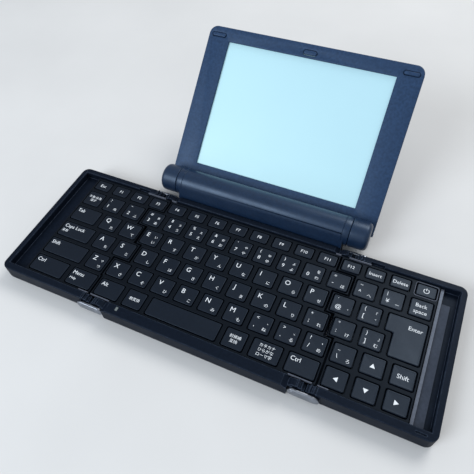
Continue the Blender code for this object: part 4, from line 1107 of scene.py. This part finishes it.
def make_key_plate(side, body, label, mine):
    """The plate that guides the stems of one body's keys, with its fused keys."""
    front, rear = DECK_FRONT + PLATE_INSET, DECK_REAR - PLATE_INSET
    outline = body_outline(side, plate_levels, front, rear, DECK_OUTER_X - PLATE_INSET - FIT_GAP)
    guides = [stem_outline(key.centre, FIT_GAP) for key in mine if key.name]
    top = PLATE_LOW + PLATE_THICKNESS
    shape = bmesh.new()
    plate_with_holes(shape, outline, guides, PLATE_LOW, top, PLATE_EDGE)
    fused = [key for key in mine if not key.name]
    for key in fused:
        add_cap(shape, key.outline())
        add_stem(shape, key.centre, top)
    turn_outwards(shape)
    for key in fused:
        add_legends(shape, key.legends, key.outline())
    node = f"{label}_key_plate"
    new_piece(f"{label}_fused_keys", shape, ("key", "ink"), body, node)


def make_body_keys(side, body, label):
    """The key frame, the key plate and the jointed keys of one body."""
    mine = [key for key in keys() if key.side == side]
    make_key_frame(side, body, label, mine)
    make_key_plate(side, body, label, mine)
    for key in mine:
        if key.name:
            make_key(key)


# Barrel

def cylinder(centre, radius, ends, edge=0.0):
    """A cylinder along X, its ends softened where it has an edge."""
    shape = bmesh.new()
    outline = circle(centre, radius, ROUND_STEPS)
    if edge:
        soft_block(shape, outline, *ends, edge, "YZ")
    else:
        prism(shape, outline, *ends, "YZ")
    return shape


def cover_outline():
    """The sloping cover's profile: tangent to the barrel, down to a foot behind the keyboard."""
    to_foot = Vector((COVER_FOOT_Y - BARREL_Y, COVER_FOOT_Z - BARREL_Z))
    lean = math.acos(BARREL_RADIUS / to_foot.length)
    angle = math.atan2(to_foot.y, to_foot.x) % WHOLE_TURN - lean
    outward = Vector((math.cos(angle), math.sin(angle)))
    tangent = Vector(BARREL_CENTRE) + BARREL_RADIUS * outward
    foot = Vector((COVER_FOOT_Y, COVER_FOOT_Z))
    slope = (tangent - foot).normalized()
    low_step = Vector((0, COVER_EDGE))
    along_share, down_share = COVER_EDGE_SHARES
    return [
        (COVER_FOOT_Y, COVER_LOW),
        (COVER_FOOT_Y + COVER_THICKNESS + FIT_GAP, COVER_LOW),
        tuple(tangent - COVER_THICKNESS * outward),
        tuple(tangent),
        tuple(foot + slope * COVER_EDGE),
        tuple(foot + slope * COVER_EDGE * along_share - low_step * down_share),
        tuple(foot - low_step),
    ]


def sector(inner, outer, start, end):
    """An outline between two radii and two angles round the barrel's axis."""
    steps = ROUND_STEPS // 4
    outside = arc(BARREL_CENTRE, outer, start, end, steps)
    return outside + arc(BARREL_CENTRE, inner, end, start, steps)


def prism_shape(outline, low, high):
    shape = bmesh.new()
    prism(shape, outline, low, high, "YZ")
    return shape


def end_groove(x):
    """A cutter for the fine groove where an end ring joins the barrel."""
    shape = bmesh.new()
    near, far = x - END_GROOVE_DEPTH / 2, x + END_GROOVE_DEPTH / 2
    outer, inner = BARREL_RADIUS + END_GROOVE_DEPTH, BARREL_RADIUS - END_GROOVE_DEPTH
    rings = []
    for radius, along in ((outer, near), (outer, far), (inner, far), (inner, near)):
        outline = circle(BARREL_CENTRE, radius, ROUND_STEPS)
        rings.append([shape.verts.new((along, y, z)) for y, z in outline])
    bridge(shape, rings + rings[:1])
    return shape


def make_barrel():
    """The battery barrel with its sloping cover, open where the door sits."""
    length = BARREL_HALF_LENGTH
    inner = BARREL_RADIUS - BARREL_WALL
    shape = cylinder(BARREL_CENTRE, BARREL_RADIUS, (-length, length), BARREL_EDGE)
    bay = cylinder(BARREL_CENTRE, inner, (-BAY_HALF_LENGTH, BAY_HALF_LENGTH))
    bore_ends = (-length - CUT_OVERRUN, length + CUT_OVERRUN)
    bore = cylinder(BARREL_CENTRE, PIN_RADIUS + FIT_GAP, bore_ends)
    turn = FIT_GAP / BARREL_RADIUS
    radii = (inner - CUT_OVERRUN, BARREL_RADIUS + CUT_OVERRUN)
    opening = sector(*radii, DOOR_START - turn, DOOR_END + turn)
    half = DOOR_HALF_LENGTH + FIT_GAP
    steps = [
        ("DIFFERENCE", end_groove(-END_GROOVE_X)),
        ("DIFFERENCE", end_groove(END_GROOVE_X)),
        ("UNION", prism_shape(cover_outline(), -COVER_HALF_WIDTH, COVER_HALF_WIDTH)),
        ("DIFFERENCE", bay),
        ("DIFFERENCE", bore),
        ("DIFFERENCE", prism_shape(opening, -half, half)),
    ]
    shape = combined(shape, steps)
    new_piece("barrel_shell", shape, ["barrel"], "base", "battery_barrel")


def make_door():
    """The battery door: a curved plate with grip ribs near its right end."""
    shape = bmesh.new()
    outline = sector(BARREL_RADIUS - BARREL_WALL, BARREL_RADIUS, DOOR_START, DOOR_END)
    prism(shape, outline, -DOOR_HALF_LENGTH, DOOR_HALF_LENGTH, "YZ")
    angle = (DOOR_START + DOOR_END) / 2
    radii = (BARREL_RADIUS - RIB_ROOT, BARREL_RADIUS + RIB_HEIGHT)
    strip = sector(*radii, angle - RIB_HALF_ANGLE, angle + RIB_HALF_ANGLE)
    for rib in range(RIB_COUNT):
        x = DOOR_HALF_LENGTH - RIB_START - RIB_PITCH * rib
        prism(shape, strip, x, x + RIB_WIDTH, "YZ")
    turn_outwards(shape)
    new_piece("door_plate", shape, ["barrel"], "base", "battery_door")


# Lid

def lid_outline():
    """The lid's outline, rounded at its free edge."""
    half, radius = LID_HALF_WIDTH, LID_CORNER
    steps = ROUND_STEPS // 6
    points = [(-half, 0), (half, 0)]
    for x, start in ((half - radius, 0), (radius - half, QUARTER_TURN)):
        points += arc((x, LID_LENGTH - radius), radius, start, start + QUARTER_TURN, steps)
    return points


def window_outline(margin=0.0):
    half = WINDOW_HALF_WIDTH + margin
    return rectangle(-half, half, WINDOW_START - margin, WINDOW_END + margin)


def pad_outline(x, width, depth, margin=0.0):
    """A pad's outline with round ends."""
    half_y = depth / 2 + margin
    outline = centred(x, PAD_Y, width / 2 + margin, half_y)
    return rounded(outline, half_y * PAD_ROUND_SHARE, 6)


def new_lid_piece(name, shape, look, node):
    turn_outwards(shape)
    new_piece(name, shape, [look], "lid", node, LID_PLACE)


def make_bezel():
    """The frame round the display, its edges rounded, with holes for the window and the pads."""
    holes = [pad_outline(x, width, depth, PAD_GAP) for _, x, width, depth in PADS]
    holes.append(rounded(window_outline(), WINDOW_CORNER))
    shape = bmesh.new()
    plate_with_holes(shape, lid_outline(), holes, LID_FACE - BEZEL_THICKNESS, LID_FACE, BEZEL_EDGE, 3)
    new_lid_piece("display_frame", shape, "lid", "display_bezel")


def make_pads():
    for name, x, width, depth in PADS:
        shape = bmesh.new()
        low, high = PANEL_TOP + PAD_GAP / 4, LID_FACE + PAD_HEIGHT
        soft_block(shape, pad_outline(x, width, depth), low, high, PAD_EDGE)
        new_lid_piece(f"{name}_bump", shape, "lid", name)


def make_back_cover():
    """The back of the lid: a shallow tray with round edges, open where the panel sits."""
    outline = lid_outline()
    pocket = window_outline(PANEL_MARGIN)
    shape = bmesh.new()
    outer, inner = fill(shape, [inset(outline, LID_SEAM), pocket], PANEL_TOP)
    floor = add_ring(shape, pocket, PANEL_TOP - PANEL_THICKNESS - FIT_GAP)
    bridge(shape, [inner, floor])
    shape.faces.new(floor)
    back = LID_FACE - LID_THICKNESS
    stations = [(0, PANEL_TOP - LID_SEAM)] + soft_edge(LID_BACK_EDGE, back, -1, 6)
    rings = [outer] + [add_ring(shape, inset(outline, distance), z) for distance, z in stations]
    bridge(shape, rings)
    shape.faces.new(rings[-1])
    new_lid_piece("lid_back", shape, "lid", "display_back_cover")


def make_hinge_cap(side, label):
    """A round lid knuckle with a softly rounded end and a foot on the bezel."""
    near, far = CAP_NEAR_X, CAP_FAR_X
    profile = [(near, BARREL_RADIUS - CAP_CHAMFER), (near + CAP_CHAMFER, BARREL_RADIUS)]
    profile += arc((far - CAP_FILLET, BARREL_RADIUS - CAP_FILLET), CAP_FILLET, QUARTER_TURN, 0, 8)
    shape = bmesh.new()
    sections = []
    for x, radius in profile:
        sections.append([(side * x, y, z) for y, z in circle((0, 0), radius, ROUND_STEPS)])
    loft(shape, sections)
    low = LID_FACE + FIT_GAP
    foot_outline = [
        (0, low),
        (CAP_FOOT_LENGTH, low),
        (CAP_FOOT_LENGTH, low + CAP_FOOT_EDGE),
        (CAP_FOOT_LENGTH - CAP_FOOT_LEAN, low + CAP_FOOT_RISE),
        (0, low + CAP_FOOT_RISE),
    ]
    ends = sorted((side * (near + CAP_CHAMFER), side * (far - CAP_FILLET)))
    foot = prism_shape(foot_outline, *ends)
    ends = sorted((side * (near - CUT_OVERRUN), side * (far - CAP_SHELL)))
    bore = cylinder((0, 0), PIN_RADIUS + FIT_GAP, ends)
    shape = combined(shape, [("UNION", foot), ("DIFFERENCE", bore)])
    new_lid_piece(f"{label}_hinge_cap_shell", shape, "barrel", f"{label}_hinge_cap")


# Hinge links

def make_link(side, label, at_rear):
    """A plated link with soft edges and the domed heads of its two riveted pins."""
    end = "rear" if at_rear else "front"
    name = f"{label}_{end}_hinge_link"
    direction = -1 if at_rear else 1
    face = CASE_DEPTH + LINK_GAP if at_rear else -LINK_GAP
    outer = face - direction * LINK_THICKNESS
    left, right = sorted((side * CENTRE_PIVOT_X, side * WING_PIVOT_X))
    outline = []
    for x, start in ((right, -QUARTER_TURN), (left, QUARTER_TURN)):
        outline += arc((x, PIVOT_Z), LINK_RADIUS, start, start + WHOLE_TURN / 2, ROUND_STEPS // 3)
    shape = bmesh.new()
    soft_block(shape, outline, min(face, outer), max(face, outer), LINK_EDGE, "XZ", 4)
    for x in (left, right):
        stations = [(0, outer + direction * LINK_ROOT)]
        for inset_share, height_share in RIVET_SHARES:
            height = direction * RIVET_HEIGHT * height_share
            stations.append((RIVET_RADIUS * inset_share, outer - height))
        profile_loft(shape, circle((x, PIVOT_Z), RIVET_RADIUS, PIN_SIDES), stations, "XZ")
        ends = (face - direction * LINK_ROOT, face + direction * LINK_PIN_LENGTH)
        prism(shape, circle((x, PIVOT_Z), LINK_PIN_RADIUS, PIN_SIDES), *ends, "XZ")
    turn_outwards(shape)
    new_piece(f"{name}_plate", shape, ["silver"], f"{label}_link", name)


# Small trim

def make_screws():
    """Small countersunk screws, their heads almost flush with the undersides."""
    stations = [
        (distance, CASE_BOTTOM - SCREW_STAND * share)
        for distance, share in zip(SCREW_INSETS, SCREW_STAND_SHARES)
    ]
    stations.append((0, CASE_BOTTOM + SCREW_DEPTH))
    long, short = SLOT_HALF_LENGTH, SLOT_HALF_WIDTH
    for body, places in SCREWS.items():
        shape = bmesh.new()
        for x, y in places:
            profile_loft(shape, circle((x, y), SCREW_RADIUS, SCREW_SIDES), stations)
            for half_x, half_y in ((long, short), (short, long)):
                slot = rounded(centred(x, y, half_x, half_y), SLOT_CORNER, 2)
                soft_block(shape, slot, CASE_BOTTOM - SLOT_STAND, CASE_BOTTOM, SLOT_EDGE)
        turn_outwards(shape)
        new_piece(f"{body}_screws", shape, ["steel"], body)


def make_lamp_window():
    """The small status lamp window on the front rim."""
    shape = bmesh.new()
    outline = rounded(centred(*LAMP_PLACE, LAMP_HALF_WIDTH, LAMP_HALF_LENGTH), LAMP_CORNER)
    soft_block(shape, outline, RIM_TOP - LAMP_DEPTH, RIM_TOP + LAMP_STAND, LAMP_STAND)
    turn_outwards(shape)
    new_piece("lamp_window", shape, ["lamp"], "base")


# Carried-over CAD pieces

def dress_cad_pieces():
    """Gives the CAD nodes that stay in view their surfaces."""
    looks = {
        "case": ("centre_lower_case", "left_wing_case", "right_wing_case"),
        "screen": ("e_paper_panel",),
        "rubber": ("centre_front_foot", "centre_rear_foot", "left_wing_foot", "right_wing_foot"),
        "steel": ("left_hinge_pin", "right_hinge_pin", "battery_spring"),
        "trim": ("right_trim_strip",),
        "tray": ("right_tray_panel",),
        "cell": ("left_aa_cell", "right_aa_cell"),
        "board": ("main_circuit_board",),
    }
    for look, names in looks.items():
        for name in names:
            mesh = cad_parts[name].data
            mesh.materials.clear()
            mesh.materials.append(LOOKS[look])


# Stage

def make_camera():
    data = bpy.data.cameras.new("photo_camera")
    data.lens = CAMERA_LENS
    data.sensor_width = CAMERA_SENSOR
    data.sensor_fit = "HORIZONTAL"
    data.clip_start = CAMERA_NEAR
    camera = new_object("photo_camera", data)
    camera.location = CAMERA_PLACE
    camera.rotation_euler = Euler([math.radians(angle) for angle in CAMERA_TURN])
    bpy.context.scene.camera = camera


def make_floor():
    """A pale flat floor that catches the object's shadow."""
    shape = bmesh.new()
    shape.faces.new(add_ring(shape, centred(0, 0, FLOOR_HALF, FLOOR_HALF), 0))
    mesh = new_mesh("floor", shape)
    mesh.materials.append(floor_paper("floor_paper"))
    new_object("floor", mesh)


def make_lamp(name, place, size, power, colour):
    """A round soft lamp that shines at the origin."""
    data = bpy.data.lights.new(name, "AREA")
    data.shape = "DISK"
    data.size = size
    data.energy = power
    data.color = colour
    lamp = new_object(name, data)
    lamp.location = place
    lamp.rotation_euler = (-Vector(place)).to_track_quat("-Z", "Y").to_euler()


def make_light():
    """A pale sky all round, and the lamps."""
    world = bpy.data.worlds.new("studio")
    world.use_nodes = True
    background = world.node_tree.nodes["Background"]
    background.inputs["Color"].default_value = (*SKY_COLOUR, 1)
    background.inputs["Strength"].default_value = SKY_STRENGTH
    bpy.context.scene.world = world
    for light in LIGHTS:
        make_lamp(*light)
    bpy.context.scene.view_settings.view_transform = "Standard"


def main():
    make_camera()
    make_light()
    make_floor()
    dress_cad_pieces()
    make_body_keys(0, "base", "centre")
    make_body_keys(-1, "left_wing", "left_wing")
    make_body_keys(1, "right_wing", "right_wing")
    make_barrel()
    make_door()
    make_bezel()
    make_pads()
    make_back_cover()
    for side, label in ((-1, "left"), (1, "right")):
        make_hinge_cap(side, label)
        for at_rear in (False, True):
            make_link(side, label, at_rear)
    make_lamp_window()
    make_screws()


main()
